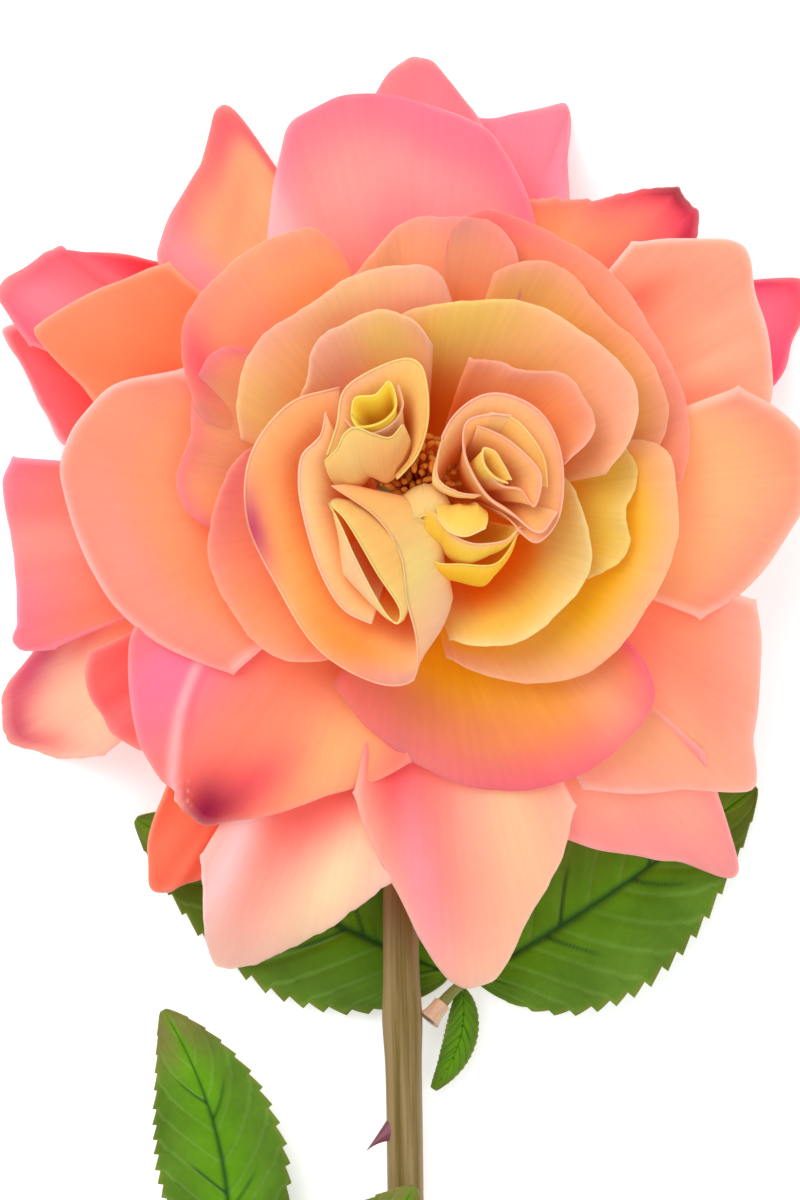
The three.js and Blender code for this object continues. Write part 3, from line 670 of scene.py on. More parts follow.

# what the middle and inner rings share; shade darkens their colours as painted shade, for the
# shade that falls on them deeper in the bloom
ring = dict(
    bodySpan=(0.55, 0.88), rimFrom=0.86, roll=0.9, rollTurn=30, ripple=0.35, scallop=1.0,
    wave=1.8, waves=1.3, edgeHighlight=0.06, ragged=0.06, shade=0.9)
middlePetals = [
    dict(turn=45, half=40, reach=50.5, lean=80, skew=0.4, square=[2, 6], side=0.86,
         tones=["#fb7a26", "#f09c70", "#ee9486"], edge="#f8bca8",
         patches=[(0.75, 0.97, 0.35, 0.08, "#e8646a", 0.85)]),
    dict(turn=88, half=24, reach=48, lean=77.5, square=[4, 1.2], side=0.84,
         tones=["#f67c28", "#ea9876", "#e68a86"], edge="#f4bcac",
         patches=[(0.5, 0.85, 0.4, 0.25, "#e8b878", 0.6)]),
    dict(turn=133, half=27, reach=51, lean=80.5, skew=-0.5, square=[5, 1.7], side=0.8,
         tones=["#fb8a34", "#f2a070", "#ee8c80"], edge="#fac4b0",
         patches=[(0.55, 0.92, 0.3, 0.12, "#f0566a", 0.85), (-0.4, 0.98, 0.4, 0.05, "#eea074", 0.6)]),
    dict(turn=162, half=26, reach=43.5, lean=77, skew=-0.4, square=[4, 4], side=0.82,
         tones=["#f88a3c", "#f49a6c", "#e87480"], edge="#f8b4a8",
         patches=[(0.1, 0.8, 0.5, 0.2, "#f0b884", 0.5)]),
    dict(turn=200, half=44, reach=38.5, lean=71, square=[4, 4], side=0.84,
         tones=["#ff6a1c", "#f28c5a", "#f09684"], edge="#f8bca4",
         patches=[(-0.6, 0.92, 0.4, 0.1, "#ea7c84", 0.7), (0.45, 0.85, 0.35, 0.2, "#f0a878", 0.6)]),
    dict(turn=287, half=42, reach=53, lean=83, skew=0.5, square=[0.95, 4], side=0.66,
         tones=["#ffae14", "#ee8a5c", "#f8687c"], edge="#ffb0a4", bodySpan=(0.52, 0.78), rimFrom=0.78,
         roll=1.4, rollTurn=60, creases=[(0.05, 0.05, 0.9)], dents=[(-0.1, 0.9, 0.06, 0.1, 0.8)],
         patches=[(-0.85, 0.85, 0.35, 0.3, "#e87e68", 0.85), (0.62, 0.8, 0.14, 0.2, "#f6b090", 0.6),
                  (-0.4, 0.95, 0.3, 0.12, "#ea8078", 0.7), (0.42, 0.66, 0.3, 0.2, "#f8ac3c", 0.75)]),
    dict(turn=330, half=50, reach=47, lean=71, skew=0.6, square=[1.35, 5], side=0.66,
         tones=["#ffa600", "#fcc026", "#f2ae86"], edge="#f4c4a8", bodySpan=(0.4, 0.7), rimFrom=0.78),
    dict(turn=42, half=30, reach=47.5, lean=74, square=[3.5, 3.5], side=0.88,
         tones=["#ee8422", "#e2a45c", "#e89c80"], edge="#f4c4a0"),
]

innerPetals = [
    dict(turn=120, half=40, reach=45, lean=66, skew=-0.4, square=[5, 1.3], side=0.82,
         tones=["#f4801c", "#eea87a", "#eea494"], edge="#f8ccb4",
         patches=[(-0.3, 0.95, 0.4, 0.08, "#e8c484", 0.6), (0.75, 0.85, 0.3, 0.25, "#e6c070", 0.85),
                  (0.2, 0.72, 0.3, 0.14, "#e8bc70", 0.6)]),
    dict(turn=0, half=24, reach=41.5, lean=65, square=[2.4, 2.4], side=0.85,
         tones=["#f49a10", "#f0c850", "#ecc878"], edge="#f6dc9c"),
    dict(turn=55, half=46, reach=46, lean=60, skew=-0.35, square=[3, 1.6], side=0.84,
         tones=["#e86c0c", "#e6b054", "#eeb08c"], edge="#f6ccac", bodySpan=(0.55, 0.8),
         patches=[(-0.6, 0.92, 0.45, 0.2, "#f0a490", 0.8), (0.45, 0.9, 0.35, 0.3, "#e4c464", 0.85)]),
    dict(turn=118, half=32, reach=41, lean=54, skew=-0.4, square=[5, 1.2], side=0.9,
         tones=["#f07a1c", "#f0ae80", "#eeaa98"], edge="#f8ccb8",
         patches=[(-0.5, 0.85, 0.35, 0.2, "#e4c468", 0.8), (0.7, 0.85, 0.3, 0.3, "#f2b478", 0.6)]),
    dict(turn=328, half=46, reach=37.5, lean=54, square=[5, 5], side=0.9,
         tones=["#f67e10", "#eebc50", "#e6c888"], edge="#f0d8a8", bodySpan=(0.55, 0.86)),
    dict(turn=43, half=28, reach=42.5, lean=50, skew=-0.4, square=[4, 1.6], side=0.88,
         tones=["#ec6a14", "#ee9c68", "#eca08c"], edge="#f8c4a8"),
]
middlePetals = [dict(ring, **p) for p in middlePetals]
innerPetals = [dict(ring, **p) for p in innerPetals]
# A coral lobe beside the sixth guard petal. It rides with that petal, but may be one of its own.
guardLobe = dict(
    turn=214, half=10, lean=95, tones=["#fd7a5c", "#fd6c60", "#fb6468"],
    corners=[(-1, 58), (-0.6, 61.5), (0, 62.5), (0.6, 61), (1, 57)], cornerRound=0.2)

addFanPetals("guardPetal", "guard_petal", guardPetals)
addFanPetal("guardPetal6Lobe", "guard_petal_6", guardLobe, 77)
addFanPetals("outerPetal", "outer_petal", outerPetals)
addFanPetals("middlePetal", "middle_petal", middlePetals)
addFanPetals("innerPetal", "inner_petal", innerPetals)


# shade darkens the heart's colours as painted shade, for the shade deep in the bloom
heart = {
    "columns": 97, "rows": 45, "thickness": 0.26, "footRing": 0.14, "flareFrom": 0.4, "lipFrom": 0.95,
    "lip": 0.25, "lipTurn": 80, "standUp": 0.45, "backShade": [1.0, 0.93, 0.9],
    "insideGlow": [1.0, 0.96, 0.9], "shade": 0.92,
}

# rim: the few places that a rolled rim passes through, each (x, y) from the middle of the box of
# the CAD piece that it stands for, and how far it stays below the top of that box. fold: the line
# that the petal rolls round, from one end to the other. throat: its width half way up, as a share
# of the rim's. swell: how far it bulges out past that, in mm. deep: 3 flares flat, 1.8 domes.
# throat and swell may change along the rim, as (u, value) pairs. tones: throat, body and rim.
# insideGlow tints the inner face, an orange painted glow where light has crossed the petals, as in
# slitBud, and backShade tints the outer one as painted shade.
heartPetals = [
    dict(name="foldedLoop", node=1, fold=[[-5.5, 15.5], [5.5, -9.5]], deep=2.2,
         rim=[[0, 26, 2], [-7.5, 23.5, 2], [-13.5, 15.5, 2.5], [-14, 6, 3], [-9.5, -4, 3.5],
              [-2.5, -14.5, 3.5], [7.5, -19.5, 3.5], [11.5, -18.5, 3], [12, -13, 1.5],
              [10.5, -6.5, 0.5], [9.5, 0.5, 0.5], [6, 6, 0.5], [-1, 11, 1]],
         throat=[(-1, 0.45), (0.2, 0.45), (0.5, 1), (1, 1)],
         swell=[(-1, 0), (0.28, 0), (0.5, 5.4), (0.8, 5), (1, 1.5)],
         tones=["#fb7018", "#fdb078", "#f6b490"], edge="#f6c4b4",
         patches=[(-0.42, 0.93, 0.13, 0.12, "#a83470", 0.95), (-0.2, 0.7, 0.25, 0.2, "#ffa048", 0.6),
                  (0.08, 0.78, 0.22, 0.2, "#fb8c34", 0.85), (0.28, 0.93, 0.17, 0.12, "#cc8c90", 0.9),
                  (0.62, 0.85, 0.25, 0.3, "#e4d080", 0.9), (0.45, 0.75, 0.12, 0.2, "#e8b49c", 0.8),
                  (0.9, 0.85, 0.15, 0.3, "#f0b468", 0.7)]),
    dict(name="loopLining", node=1, fold=[[-1, 10.5], [6.5, -6]], throat=0.5, deep=2.2,
         rim=[[-2, 22, 0], [-2.8, 18.5, 0.3], [-5.5, 15.5, 0.5], [-6, 12, 0.7], [-5.5, 7.5, 1],
              [-2.5, -2.5, 1.5], [1, -8, 2], [5, -10, 2.5]], tones=["#f47c20", "#fac48c", "#f8b8a0"],
         edge="#fcd8c4"),
    # its inner face is painted orange, a painted glow for light that has crossed its petals
    dict(name="slitBud", node=2, fold=[[-3.2, 3.5], [5.7, -11.7]], throat=1, deep=1.8,
         rim=[[-4, 5, 0.5], [-2, 1, -0.2], [0, -3.5, -0.5], [5, -12.4, 0.6], [6.5, -13.4, 1],
              [7, -11.6, 0.8], [3.4, -5.6, -0.5], [-1.8, 3, -0.2], [-4, 5, 0.5]],
         swell=[(-1, 1), (-0.5, 4.2), (0.02, 1.2), (0.5, 4.4), (1, 1)],
         tones=["#ff6c08", "#f2c878", "#e8d884"], edge="#f0e4ac", insideGlow=[1.0, 0.72, 0.36],
         patches=[(-0.5, 0.9, 0.4, 0.3, "#f8c49c", 0.8)]),
    dict(name="leftBudBack", node=3, fold=[[0, 4], [1, -3]], throat=0.5, deep=2.4,
         rim=[[-7, -4, 1.5], [-5.5, 0.5, 1], [-4.5, 5.5, 0.7], [-1.5, 8, 0.5], [5, 10.5, 0.2],
              [7, 9.5, 0], [8, 6, 0.2], [8, 0.5, 1], [6.5, -4, 2], [3.5, -7.5, 3.5]],
         tones=["#dc7c18", "#f0c070", "#e8cc74"], edge="#f2e0a0",
         patches=[(-0.45, 0.95, 0.4, 0.15, "#f0b090", 0.85)]),
    dict(name="leftBudFront", node=3, fold=[[-5, 2], [3, 2]], throat=1, deep=1.9,
         rim=[[-7.5, -5, 1.5], [-5.5, -3, 0.3], [-4.5, -1, -0.4], [-3, 0, -0.8], [0, -1, -0.8],
              [2.5, -1.5, -0.6], [4.5, 0.5, -0.2]], swell=[(-1, 1.5), (-0.3, 5), (0.4, 4.6), (1, 1)],
         tones=["#e08a30", "#f0c47c", "#ecd07c"], edge="#f4e0a0",
         patches=[(0.5, 0.7, 0.5, 0.25, "#e89a5c", 0.7)]),
    dict(name="leftBudLining", node=4, fold=[[-2.5, 3.5], [0, 4]], throat=0.7, deep=2.2,
         rim=[[-5.5, 2.5, 2.8], [-4, 1, 2.6], [-1.5, 0.5, 2.4], [1.5, 2, 2.2], [3, 4.5, 2],
              [2.4, 7.5, 2]], tones=["#e08030", "#f0b884", "#f0b494"], edge="#f6ccac"),
    dict(name="leftBudCurl", node=4, fold=[[-2.5, 3.5], [0, 4]], throat=0.6, deep=2,
         rim=[[-4.5, 3, 1.6], [-4, 5.5, 1.2], [-1, 6, 1], [1, 8, 0.6], [2, 4.5, 1], [0.5, 2.5, 1.2],
              [-2, 1.5, 1.4], [-3.8, 1.6, 1.5], [-4.6, 3.2, 1.6]],
         tones=["#d8860c", "#ecc83c", "#eed458"], edge="#f6e88c"),
    dict(name="rightBudRing", node=5, fold=[[-0.5, 1.5], [3, -2.5]], throat=0.5, deep=2.5,
         rim=[[-3, -4.5, 3], [-6.5, -4, 3.4], [-9.5, -2, 3.2], [-9.5, 2, 2.8], [-7, 7.5, 2.2],
              [-3, 10.5, 1.8], [0.5, 10.8, 1.6], [5.5, 8.5, 1.8], [8.5, 4, 2.2], [9.5, -2.5, 2.6],
              [8.5, -8.5, 3], [5.5, -11.5, 3], [2.5, -9.5, 2.6]],
         swell=[(-1, 1.5), (-0.75, 2.5), (-0.4, 0), (1, 0)], tones=["#e47818", "#f4b880", "#f2ae98"],
         edge="#f8c8b4", patches=[(-0.8, 0.8, 0.25, 0.3, "#ecc884", 0.8)]),
    dict(name="rightBudFold", node=5, fold=[[-0.5, 1.5], [3, -2.5]], throat=0.55, deep=2.4,
         rim=[[8.5, -7, 1.8], [6, -10, 1.8], [1.5, -7, 1], [-1.5, -5, 0.8], [-4, -1.5, 0.5],
              [-5.5, 2.5, 0.3], [-5, 6.5, 0.3], [-2, 7.6, 0.2], [1.5, 7.5, 0.2]],
         tones=["#e06c10", "#f2b874", "#f4b098"], edge="#fac8b4"),
    dict(name="rightBudYellow", node=6, fold=[[1.5, 2], [3.5, 0]], throat=0.6, deep=2.4,
         rim=[[0, 8, 2.4], [3.5, 7, 2.2], [6, 4.5, 2.2], [8, 1, 2.6], [8.5, -3, 3.2]],
         tones=["#e88420", "#e8b468", "#e8bc78"], edge="#f6dc9c"),
    dict(name="rightBudTriangle", node=6, fold=[[0.4, 1.5], [4.8, -2.2]], throat=0.6, deep=2.2,
         rim=[[-2, 6, 2.2], [0.5, 5, 1.8], [3, 3.5, 1.6], [7, -0.5, 1.6], [7.5, -2.5, 1.6],
              [6.5, -6, 2], [4.5, -3.5, 1.6], [2, -3, 1.6], [0, -1.5, 1.6]],
         tones=["#dc6810", "#f0b070", "#f2ac90"], edge="#f8c8b0"),
    dict(name="rightBudCurl", node=6, fold=[[0, 1], [1.5, -1]], throat=0.7, deep=2,
         rim=[[2.5, -2.5, 1.2], [0.5, -1.5, 0.9], [-1, 0.5, 0.7], [-1, 2.5, 0.6], [0.5, 2, 0.7],
              [1.5, 0.5, 0.8], [3, -2, 1]], tones=["#dc7c18", "#eec45c", "#f0cc78"], edge="#f6dc9c"),
    dict(name="lowerBudFront", node=7, fold=[[-6, 3], [5, 3]], throat=1, deep=1.8,
         rim=[[-6.5, 0, 2.4], [-5, -1.5, 2.2], [-1, -1.8, 1.8], [4, -1.8, 1.6], [6, 0, 1.4],
              [7.6, 3, 1.4]], swell=[(-1, 1.4), (-0.5, 2.8), (0.3, 3.8), (1, 1)],
         tones=["#f08c20", "#f6bc30", "#f2cc60"], edge="#f8dc8c"),
    dict(name="lowerBudMiddle", node=7, fold=[[-3.5, 5.5], [5, 5]], throat=1, deep=1.8,
         rim=[[-4.4, 5.8, 0.8], [-2.4, 2.8, 0.4], [0.5, 1.4, 0.2], [3.5, 1.4, 0.2], [6, 2, 0.4],
              [8, 4, 0.8]], swell=[(-1, 3.6), (0, 3.4), (1, 1)],
         tones=["#f09a28", "#f6c648", "#f6b890"], edge="#fad0ac"),
    dict(name="lowerBudCurl", node=7, fold=[[-4.5, 3], [0, 0.5]], throat=1, deep=1.9,
         rim=[[-4.6, 5.4, 0.6], [-3.2, 3.6, 0], [-0.6, 2.6, -0.4], [2.6, 3.8, -0.2]],
         swell=[(-1, 1.6), (-0.3, 4), (0.4, 4.4), (1, 2)], tones=["#f0a040", "#f4cc60", "#f6d488"],
         edge="#f8e4ac"),
    dict(name="smallHood", node=8, fold=[[0.4, -2], [0.6, -2]], throat=1, deep=1.6,
         rim=[[-0.4, -2, 0.6], [0.5, -1.5, 0.5], [1.4, -2, 0.6], [0.5, -2.6, 0.8], [-0.4, -2, 0.6]],
         swell=[(-1, 3), (-0.5, 4.6), (0, 3.2), (0.5, 1.5), (1, 3)],
         tones=["#e4983c", "#f2cc88", "#eec47c"], edge="#f2cc8c"),
]


def alongRim(listed, u):
    # one value for the whole rim, or (u, value) pairs with straight runs between them
    if np.ndim(listed) == 0:
        return np.full(u.shape, float(listed))
    at, value = np.array(listed, float).T
    return np.interp(u, at, value)


def rolledSurface(p, node):
    # Every row is the rim drawn in towards the nearest point of the fold line. Going up, the row
    # grows from a small ring at the foot to the throat's share, then to the full rim. The swell is
    # a half sine that adds to it on the way, and the lip is an arc outwards. The height is one
    # minus a power of what is left to climb, so the last stretch flattens out.
    low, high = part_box(node)
    middle = np.array([(low.x + high.x) / 2 - axisX, (low.y + high.y) / 2 - axisY]) / mm
    top = high.z / mm
    listed = np.array(p["rim"], float)
    places = np.column_stack([middle + listed[:, :2], top - listed[:, 2]])
    rim = evenPath(places, heart["columns"])
    foldStart, foldStop = middle + np.array(p["fold"], float)
    fold = foldStop - foldStart
    onFold = np.clip((rim[:, :2] - foldStart) @ fold / (fold @ fold), 0, 1)[:, None]
    nearest = foldStart + onFold * fold
    across = np.linspace(-1, 1, heart["columns"])
    u, v = np.meshgrid(across, np.linspace(0, 1, heart["rows"]))

    toward = np.array([*(foldStart + foldStop) / 2, rim[:, 2].mean() - hip["height"]])
    foot = toward / np.linalg.norm(toward) * (hip["radius"] + hip["seatGap"])
    rise = np.minimum(v / heart["lipFrom"], 1)
    throat, swell = alongRim(p["throat"], u), alongRim(p.get("swell", 0), u)
    flare = np.clip((rise - heart["flareFrom"]) / (1 - heart["flareFrom"]), 0, 1) ** 1.3
    width = (heart["footRing"] + (throat - heart["footRing"]) * smooth(rise / 0.5)
             + (1 - throat) * flare)
    spoke = rim[:, :2] - nearest
    bulge = swell * np.sin(math.pi * rise ** 1.4)
    lip = heart["lip"]
    lipTurn = math.radians(heart["lipTurn"]) * np.clip(
        (v - heart["lipFrom"]) / (1 - heart["lipFrom"]), 0, 1)
    lipOut = np.where(swell > 1, -0.5, 1) * lip * (1 - np.cos(lipTurn))
    centre = foot[:2] + (nearest - foot[:2]) * (rise ** heart["standUp"])[..., None]
    flat = centre + spoke * width[..., None] + unit(spoke) * (bulge + lipOut)[..., None]
    start = hip["height"] + foot[2]
    climb = 1 - (1 - rise) ** p["deep"]
    height = start + (rim[:, 2] - start) * climb + lip * (np.sin(lipTurn) - 0.6)
    return np.concatenate([flat, height[..., None]], axis=2), u, v


def addHeartPetals():
    for p in heartPetals:
        node = f"heart_petal_{p['node']}"
        points, u, v = rolledSurface(p, node)
        looks = dict(fan, **p, turn=0, bodySpan=(0.25, 0.7), rimFrom=0.84, shade=heart["shade"])
        upper, _ = petalTones(looks, u, v)
        lower = upper * np.array(heart["backShade"])
        upper = upper * np.array(p.get("insideGlow", heart["insideGlow"]))
        addSheet(p["name"], points, heart["thickness"], upper, lower, petalTissue, node)
    print("heart petals", len(heartPetals))


addHeartPetals()


sepalThickness = 0.6
sepalShape = dict(
    half=11, reach=32, lean=118, square=[1.2, 1.2], side=0.45,
    tones=["#7f9a4c", "#5f7d30", "#4f6c26"], edge="#8aa45a", cup=-6, roll=0.8, sideRoll=(0.6, 0.6),
    wave=0.6)
for index in range(5):
    p = dict(fan, **sepalShape, turn=18 + 72 * index)
    points, u, v = fanSurface(p, 900 + index)
    upper, lower = petalTones(p, u, v)
    addSheet(f"sepal{index + 1}", points, sepalThickness, upper, lower, leafBlade,
             f"sepal_{index + 1}")
print("sepals")


stem = {
    "radius": 3.05, "length": 324, "bendRadius": 12, "neckHeight": 8.6, "endOffset": 1.5,
    "route": [[-3, -60], [-2.4, -105], [-1, -200]], "sides": 40, "rings": 260,
    "leafPlaces": [-84, -178], "leafSwell": 0.35, "swellLength": 5, "inset": 0.1,
}
thorn = {"length": 7, "base": 2.2, "backward": 0.45, "stretch": 0.9, "rings": 18, "sides": 24,
         "sunk": 0.2, "hook": 1.4, "point": 0.05}
# (y, heading) of each thorn
thorns = [[-101, 195], [-140, 20], [-198, 150], [-243, 330], [-286, 200]]


def stemHeight(y):
    # the stem slopes evenly from the neck to its resting end
    share = (-stem["bendRadius"] - y) / (stem["length"] - stem["bendRadius"])
    return stem["neckHeight"] + (stem["radius"] - stem["neckHeight"]) * share


def stemPath():
    bendMiddle = stem["neckHeight"] + stem["bendRadius"]
    points = [[0, 0, hip["height"] - hip["radius"] / 2]]
    for angle in (60, 90):
        points.append([0, stem["bendRadius"] * (math.cos(math.radians(angle)) - 1),
                       bendMiddle - stem["bendRadius"] * math.sin(math.radians(angle))])
    for x, y in stem["route"] + [[stem["endOffset"], -stem["length"]]]:
        points.append([x, y, stemHeight(y)])
    return evenPath(points, stem["rings"])


def tubeAlong(path, radius, sides, reference):
    # A ring of the given radius at every point of the path, square to it. reference fixes where
    # the ring starts, so it must never run along the path.
    direction = unit(np.gradient(path, axis=0))
    side = unit(reference - direction * (direction @ np.array(reference, float))[:, None])
    other = np.cross(direction, side)
    angle = np.linspace(0, 2 * math.pi, sides, endpoint=False)
    spread = np.broadcast_to(radius, (len(path), sides))[..., None]
    return (path[:, None] + side[:, None] * np.cos(angle)[None, :, None] * spread
            + other[:, None] * np.sin(angle)[None, :, None] * spread)


def tubeFaces(rings, sides, offset=0):
    # quads round the tube and one flat face on each end, all facing out
    ring = np.arange(rings - 1)[:, None] * sides
    first = (ring + np.arange(sides)).ravel() + offset
    beside = (ring + np.roll(np.arange(sides), -1)).ravel() + offset
    quads = np.stack([first, beside, beside + sides, first + sides], axis=1).tolist()
    start = [int(offset + index) for index in range(sides)][::-1]
    stop = [int(offset + (rings - 1) * sides + index) for index in range(sides)]
    return quads + [start, stop]


def addTube(name, rings, material, node):
    count, sides = rings.shape[:2]
    around, along = np.meshgrid(np.linspace(0, 1, sides), np.linspace(0, 1, count) * count / 20)
    around = 0.5 - np.abs(around - 0.5)
    uv = np.stack([around.ravel(), along.ravel()], axis=1)
    newPiece(name, rings.reshape(-1, 3), tubeFaces(count, sides), material, node, uv)


stemMiddle = stemPath()


def stemPointAt(y):
    # the path runs down -Y all the way, so its height and x can be read off by y
    return np.array([np.interp(-y, -stemMiddle[:, 1], stemMiddle[:, axis]) for axis in range(3)])


def addStem():
    # low ribs run along the stem, and it swells a little at each leaf
    run = np.linspace(0, 1, stem["rings"])[:, None]
    angle = np.linspace(0, 2 * math.pi, stem["sides"], endpoint=False)[None]
    away = (stemMiddle[:, 1:2] - np.array(stem["leafPlaces"])) / stem["swellLength"]
    swell = stem["leafSwell"] * np.exp(-away ** 2).sum(axis=1, keepdims=True)
    ribs = 0.05 * np.sin(7 * angle + 2 * np.sin(9 * run)) + 0.03 * np.sin(13 * angle + 5 * run)
    radius = stem["radius"] + swell + ribs - stem["inset"]
    addTube("stemCane", tubeAlong(stemMiddle, radius, stem["sides"], [1, 0, 0]),
            stemBark, "stem")


def addHip():
    # the hip's ball runs down into the neck: a profile turned about the bloom's axis
    angle = np.radians(np.linspace(hip["ballFrom"], hip["ballTo"], hip["ballRings"]))
    ball = hip["radius"] * np.stack([np.cos(angle), np.sin(angle)], axis=1)
    profile = np.concatenate([ball, hip["neck"]]) * [hip["inset"], 1]
    path = np.column_stack([np.zeros((len(profile), 2)), hip["height"] + profile[:, 1]])
    rings = tubeAlong(path, profile[:, :1], hip["sides"], [1, 0, 0])
    addTube("hipBall", rings, stalkBark, "stem")


def addThorns():
    # a thorn is a cone, wide along the stem at its foot, that hooks back towards the cut end
    for index, (y, heading) in enumerate(thorns):
        foot = stemPointAt(y)
        outward = np.array([math.cos(math.radians(heading)), -thorn["backward"],
                            abs(math.sin(math.radians(heading)))])
        outward /= np.linalg.norm(outward)
        run = np.linspace(thorn["sunk"], 1, thorn["rings"])[:, None]
        path = foot + outward * run * thorn["length"] - np.array([0, thorn["hook"], 0]) * run ** 2.5
        radius = thorn["base"] * (1 - run) ** 1.25 + thorn["point"]
        rings = tubeAlong(path, radius, thorn["sides"], [0, 1, 0])
        rings[..., 1] += (rings[..., 1] - path[:, None, 1]) * thorn["stretch"] * (1 - run)
        addTube(f"thorn{index + 1}", rings, thornBark, "stem")


addStem()
addHip()
addThorns()
print("stem")


stamens = {"count": 80, "length": 17, "spread": 6.0, "heading": [-0.3, 4.2, 23],
           "filament": 0.16, "filamentRings": 8, "filamentSides": 6,
           "anther": 0.62, "antherRings": 9, "antherSides": 10, "goldenAngle": 2.399963,
           "thread": "#f08c24", "dust": "#f4a43c"}


def addStamens():
    # thin bowed threads from one foot, each with a plump anther on its end
    chance = np.random.default_rng(7)
    heading = unit(np.array(stamens["heading"], float))
    sideways = unit(np.array([1, 0, 0]) - heading * heading[0])
    forward = np.cross(heading, sideways)
    foot = np.array([0, 0, hip["height"]]) + heading * (hip["radius"] + hip["seatGap"])
    points, faces, tones = [], [], []
    amber, gold = linearColour(stamens["thread"]), linearColour(stamens["dust"])

    def addRings(rings, tone):
        faces.extend(tubeFaces(*rings.shape[:2], sum(map(len, points))))
        points.append(rings.reshape(-1, 3))
        tones.append(np.tile(tone, (len(points[-1]), 1)))

    for index in range(stamens["count"]):
        turn = index * stamens["goldenAngle"]
        out = math.sqrt((index + 0.5) / stamens["count"])
        lean = (sideways * math.cos(turn) + forward * math.sin(turn)) * out
        reach = stamens["length"] * chance.uniform(0.82, 1.08) * (1 - 0.12 * out)
        run = np.linspace(0, 1, stamens["filamentRings"])[:, None]
        path = foot + heading * reach * run + lean * stamens["spread"] * run ** 1.6 + lean * 0.6
        addRings(tubeAlong(path, stamens["filament"], stamens["filamentSides"], [1, 0.2, 0]), amber)
        twist = unit(chance.normal(size=3))
        angle = np.linspace(0.12, math.pi - 0.12, stamens["antherRings"])[:, None]
        long = path[-1] + twist * 1.5 * stamens["anther"] * np.cos(angle)
        lobes = tubeAlong(long, stamens["anther"] * 0.8 * np.sin(angle), stamens["antherSides"],
                          np.cross(twist, [0.3, 0.5, 0.8]))
        addRings(lobes, gold * chance.uniform(0.7, 1.15))
    vertices = np.concatenate(points)
    uv = np.zeros((len(vertices), 2))
    newPiece("stamenTuft", vertices, faces, pollen, "stamens", uv, np.concatenate(tones))


addStamens()
print("stamens")


leaflet = {
    "thickness": 0.34, "fold": 0.1, "widest": 0.85, "fullness": 0.8, "endWidth": 0.5,
    "columns": 61, "rows": 141, "teeth": 17, "toothDepth": 0.05, "sideVeins": 9, "forks": 3.2,
    "pucker": 0.35, "groove": 0.3, "curl": 0.5,
}
leafTones = {"blade": "#5a8c12", "margin": "#567a22", "vein": "#83a650", "midrib": "#1b4420",
             "edge": "#7c7a34", "browned": "#7d6a40", "back": "#8fa86c"}
leaves = [
    {"name": "upperLeaf", "node": "upper_leaf", "y": stem["leafPlaces"][0], "side": 1, "brown": 0.2,
     "stalk": [[0, 0, 0], [3, 3.5, -1.4], [5.8, 6, -3]],
     "leaflets": [
         {"base": [3.4, 7, -5.4], "middle": [-21, 17, -5], "tip": [-48.5, 32.5, -6.6], "width": 28},
         {"base": [7.4, 6.8, -3.6], "middle": [27, 17, -2.6], "tip": [54, 38, -5], "width": 30},
         {"base": [5.4, 4.6, -4], "middle": [7, -4, -2.4], "tip": [0.8, -11.8, -4.2], "width": 4.2},
     ]},
    {"name": "lowerLeaf", "node": "lower_leaf", "y": stem["leafPlaces"][1], "side": -1, "brown": 0.6,
     "stalk": [[0, 0, 0], [-6.5, 18, 0.3], [-18, 37, -1], [-25, 45, -2.6]],
     "leaflets": [
         {"base": [-26, 47.5, -3], "middle": [-23, 74, 1], "tip": [-36.5, 95, -3], "width": 20},
         {"base": [-15.5, 37, 1.4], "middle": [-6, 51, 8], "tip": [5, 67.5, 9], "width": 20},
         {"base": [-22.5, 36, -2.4], "middle": [-40, 36, -0.5], "tip": [-57, 43, -3.6], "width": 24},
         {"base": [-9.5, 18, -1], "middle": [-24, 12, -1.4], "tip": [-38, 6, -4], "width": 20},
         {"base": [-4.4, 20, 1.5], "middle": [4.6, 29, 8.5], "tip": [20.6, 40, 5], "width": 20},
     ]},
]
stalk = {"radius": 1.1, "sides": 20, "rings": 60, "taper": 0.25,
         "collarShare": 0.4, "collarWall": 0.35, "collarFlare": 0.35,
         "branchRadius": 0.55, "branchSides": 12, "branchReach": 1.12}


def leafletSurface(p, origin):
    # The midrib is a curve from base to tip that leans over the middle point. Both halves rise a
    # little from it, their width swells as a sine along it, the margin is toothed,
    # and the blade puckers up between the side veins.
    base, middle, tip = (np.array(p[key], float) + origin for key in ("base", "middle", "tip"))
    u, v = np.meshgrid(np.linspace(-1, 1, leaflet["columns"]), np.linspace(0, 1, leaflet["rows"]))
    t = v[..., None]
    rib = (1 - t) ** 2 * base + 2 * t * (1 - t) * middle + t ** 2 * tip
    tangent = unit(2 * (1 - t) * (middle - base) + 2 * t * (tip - middle))
    across = unit(np.cross(np.array([0, 0, 1.0]), tangent))
    bulge = np.sin(math.pi * np.clip(v, 0, 1) ** leaflet["widest"]) ** leaflet["fullness"]
    saw = np.abs(u) ** 3 * leaflet["toothDepth"] * (
        2 * ((v * leaflet["teeth"]) % 1) - 1) * smooth(v / 0.15) * smooth((1 - v) / 0.05)
    halfWidth = leaflet["endWidth"] + p["width"] / 2 * bulge * (1 - saw)
    points = rib + across * (halfWidth * u)[..., None]
    vein = v - 0.24 * np.abs(u) ** 1.15
    beat = np.cos(2 * math.pi * leaflet["sideVeins"] * vein)
    inBlade = smooth(np.abs(u) / 0.1) * smooth((1 - np.abs(u)) / 0.2)
    pucker = -leaflet["pucker"] * np.clip(beat, 0, 1) ** 3 * inBlade * bulge
    points[..., 2] += (halfWidth * leaflet["fold"] * np.abs(u) + pucker
                       - leaflet["groove"] * np.exp(-(u / 0.05) ** 2)
                       + leaflet["curl"] * np.sin(9 * v + 2 * np.sign(u)) * u ** 2)
    return points, u, v


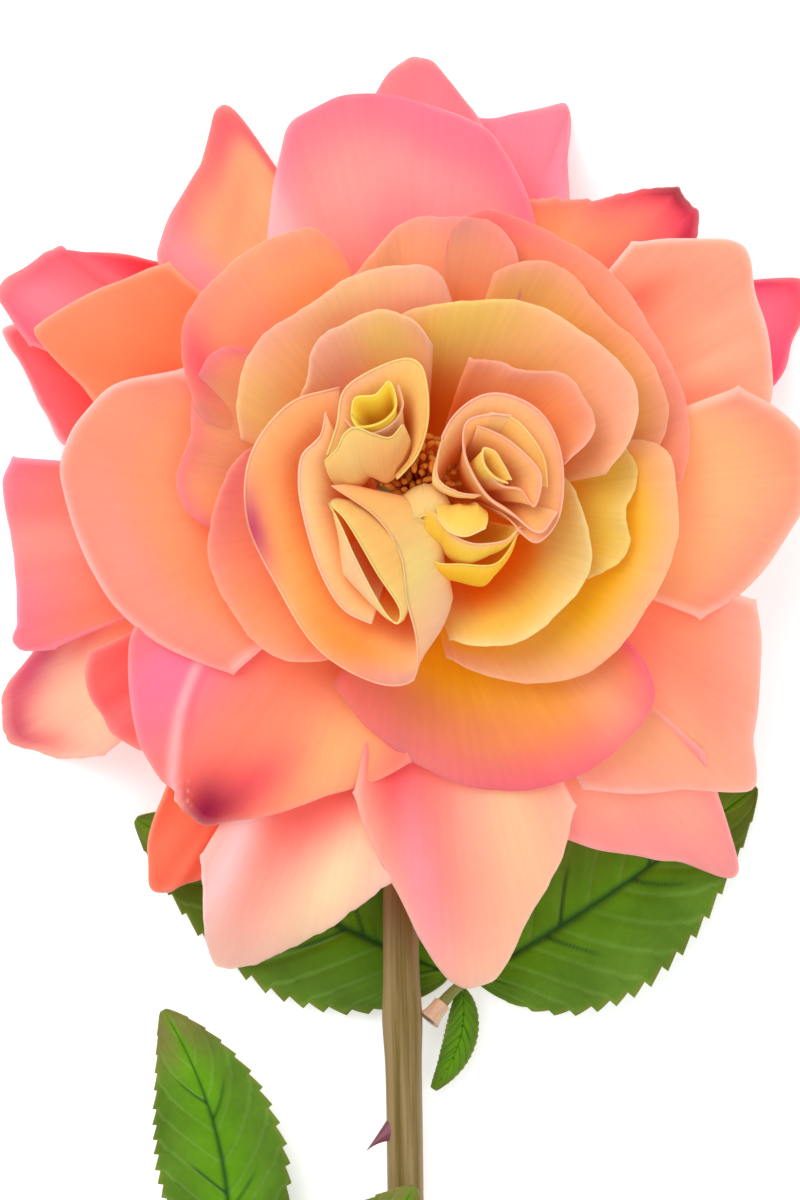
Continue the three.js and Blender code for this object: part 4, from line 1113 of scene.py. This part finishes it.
def leafletTones(u, v, brown):
    # green blade, duller towards the margin, with a bold dark midrib that branches a few times,
    # fainter pale veins between, and a browned tip
    out = np.abs(u)
    tone = {part: linearColour(code) for part, code in leafTones.items()}
    blade = mix(tone["blade"] * np.ones(u.shape + (3,)), tone["margin"], smooth(out * 1.1))
    slanted = v - 0.26 * out ** 1.1
    faint = np.clip(np.cos(2 * math.pi * leaflet["sideVeins"] * slanted), 0, 1) ** 12
    blade = mix(blade, tone["vein"], 0.35 * faint * smooth(out / 0.1))
    rib = np.exp(-(u / (0.065 - 0.045 * v)) ** 2)
    fork = np.clip(np.cos(2 * math.pi * leaflet["forks"] * (slanted - 0.03 * np.sign(u))), 0, 1) ** 90
    fork = fork * smooth((0.6 - out) / 0.25) * smooth((0.86 - v) / 0.08)
    blade = mix(blade, tone["midrib"], np.clip(0.9 * rib + 0.85 * fork, 0, 0.9))
    blade = mix(blade, tone["edge"], 0.6 * smooth((out - 0.93) / 0.07))
    return mix(blade, tone["browned"], brown * smooth((v - 0.74) / 0.2) * smooth(out / 0.3))


def addLeaf(leaf):
    origin = stemPointAt(leaf["y"])
    origin[0] += leaf["side"] * (stem["radius"] + hip["seatGap"] + stalk["radius"])
    route = evenPath(np.array(leaf["stalk"], float) + origin, stalk["rings"])
    taper = 1 - stalk["taper"] * np.linspace(0, 1, stalk["rings"])[:, None]
    addTube(leaf["name"] + "Stalk",
            tubeAlong(route, stalk["radius"] * taper, stalk["sides"], [0, 0, 1]),
            stalkBark, leaf["node"] + "_stalk")
    collar = route[:int(stalk["rings"] * stalk["collarShare"])]
    collarRadius = stalk["radius"] + stalk["collarWall"]
    flared = 1 + stalk["collarFlare"] * np.linspace(1, 0, len(collar))[:, None] ** 3
    addTube(leaf["name"] + "Collar",
            tubeAlong(collar, collarRadius * flared, stalk["sides"], [0, 0, 1]),
            collarBark, leaf["node"] + "_stalk")
    for index, p in enumerate(leaf["leaflets"]):
        points, u, v = leafletSurface(p, origin)
        upper = leafletTones(u, v, leaf["brown"])
        lower = mix(upper, linearColour(leafTones["back"]), np.full(u.shape, 0.5))
        addSheet(f"{leaf['name']}Leaflet{index + 1}", points, leaflet["thickness"], upper, lower,
                 leafBlade, f"{leaf['node']}_leaflet_{index + 1}")
        foot = np.array(p["base"]) + origin
        nearest = route[np.argmin(np.linalg.norm(route - foot, axis=1))]
        run = np.linspace(0, 1, stalk["branchSides"])[:, None]
        joint = nearest + run * (foot - nearest) * stalk["branchReach"]
        addTube(f"{leaf['name']}Stalklet{index + 1}",
                tubeAlong(joint, stalk["branchRadius"], stalk["branchSides"], [0.1, 0.2, 1]),
                stalkBark, leaf["node"] + "_stalk")
    print(leaf["name"])


for leaf in leaves:
    addLeaf(leaf)


floorMesh = bpy.data.meshes.new("sweep")
reach = light["floorSize"] * mm / 2
floorMesh.from_pydata(
    [[-reach, -reach, 0], [reach, -reach, 0], [reach, reach, 0], [-reach, reach, 0]], [],
    [[0, 1, 2, 3]])
floorMesh.materials.append(floorMaterial())
floor = addObject("sweep", floorMesh)
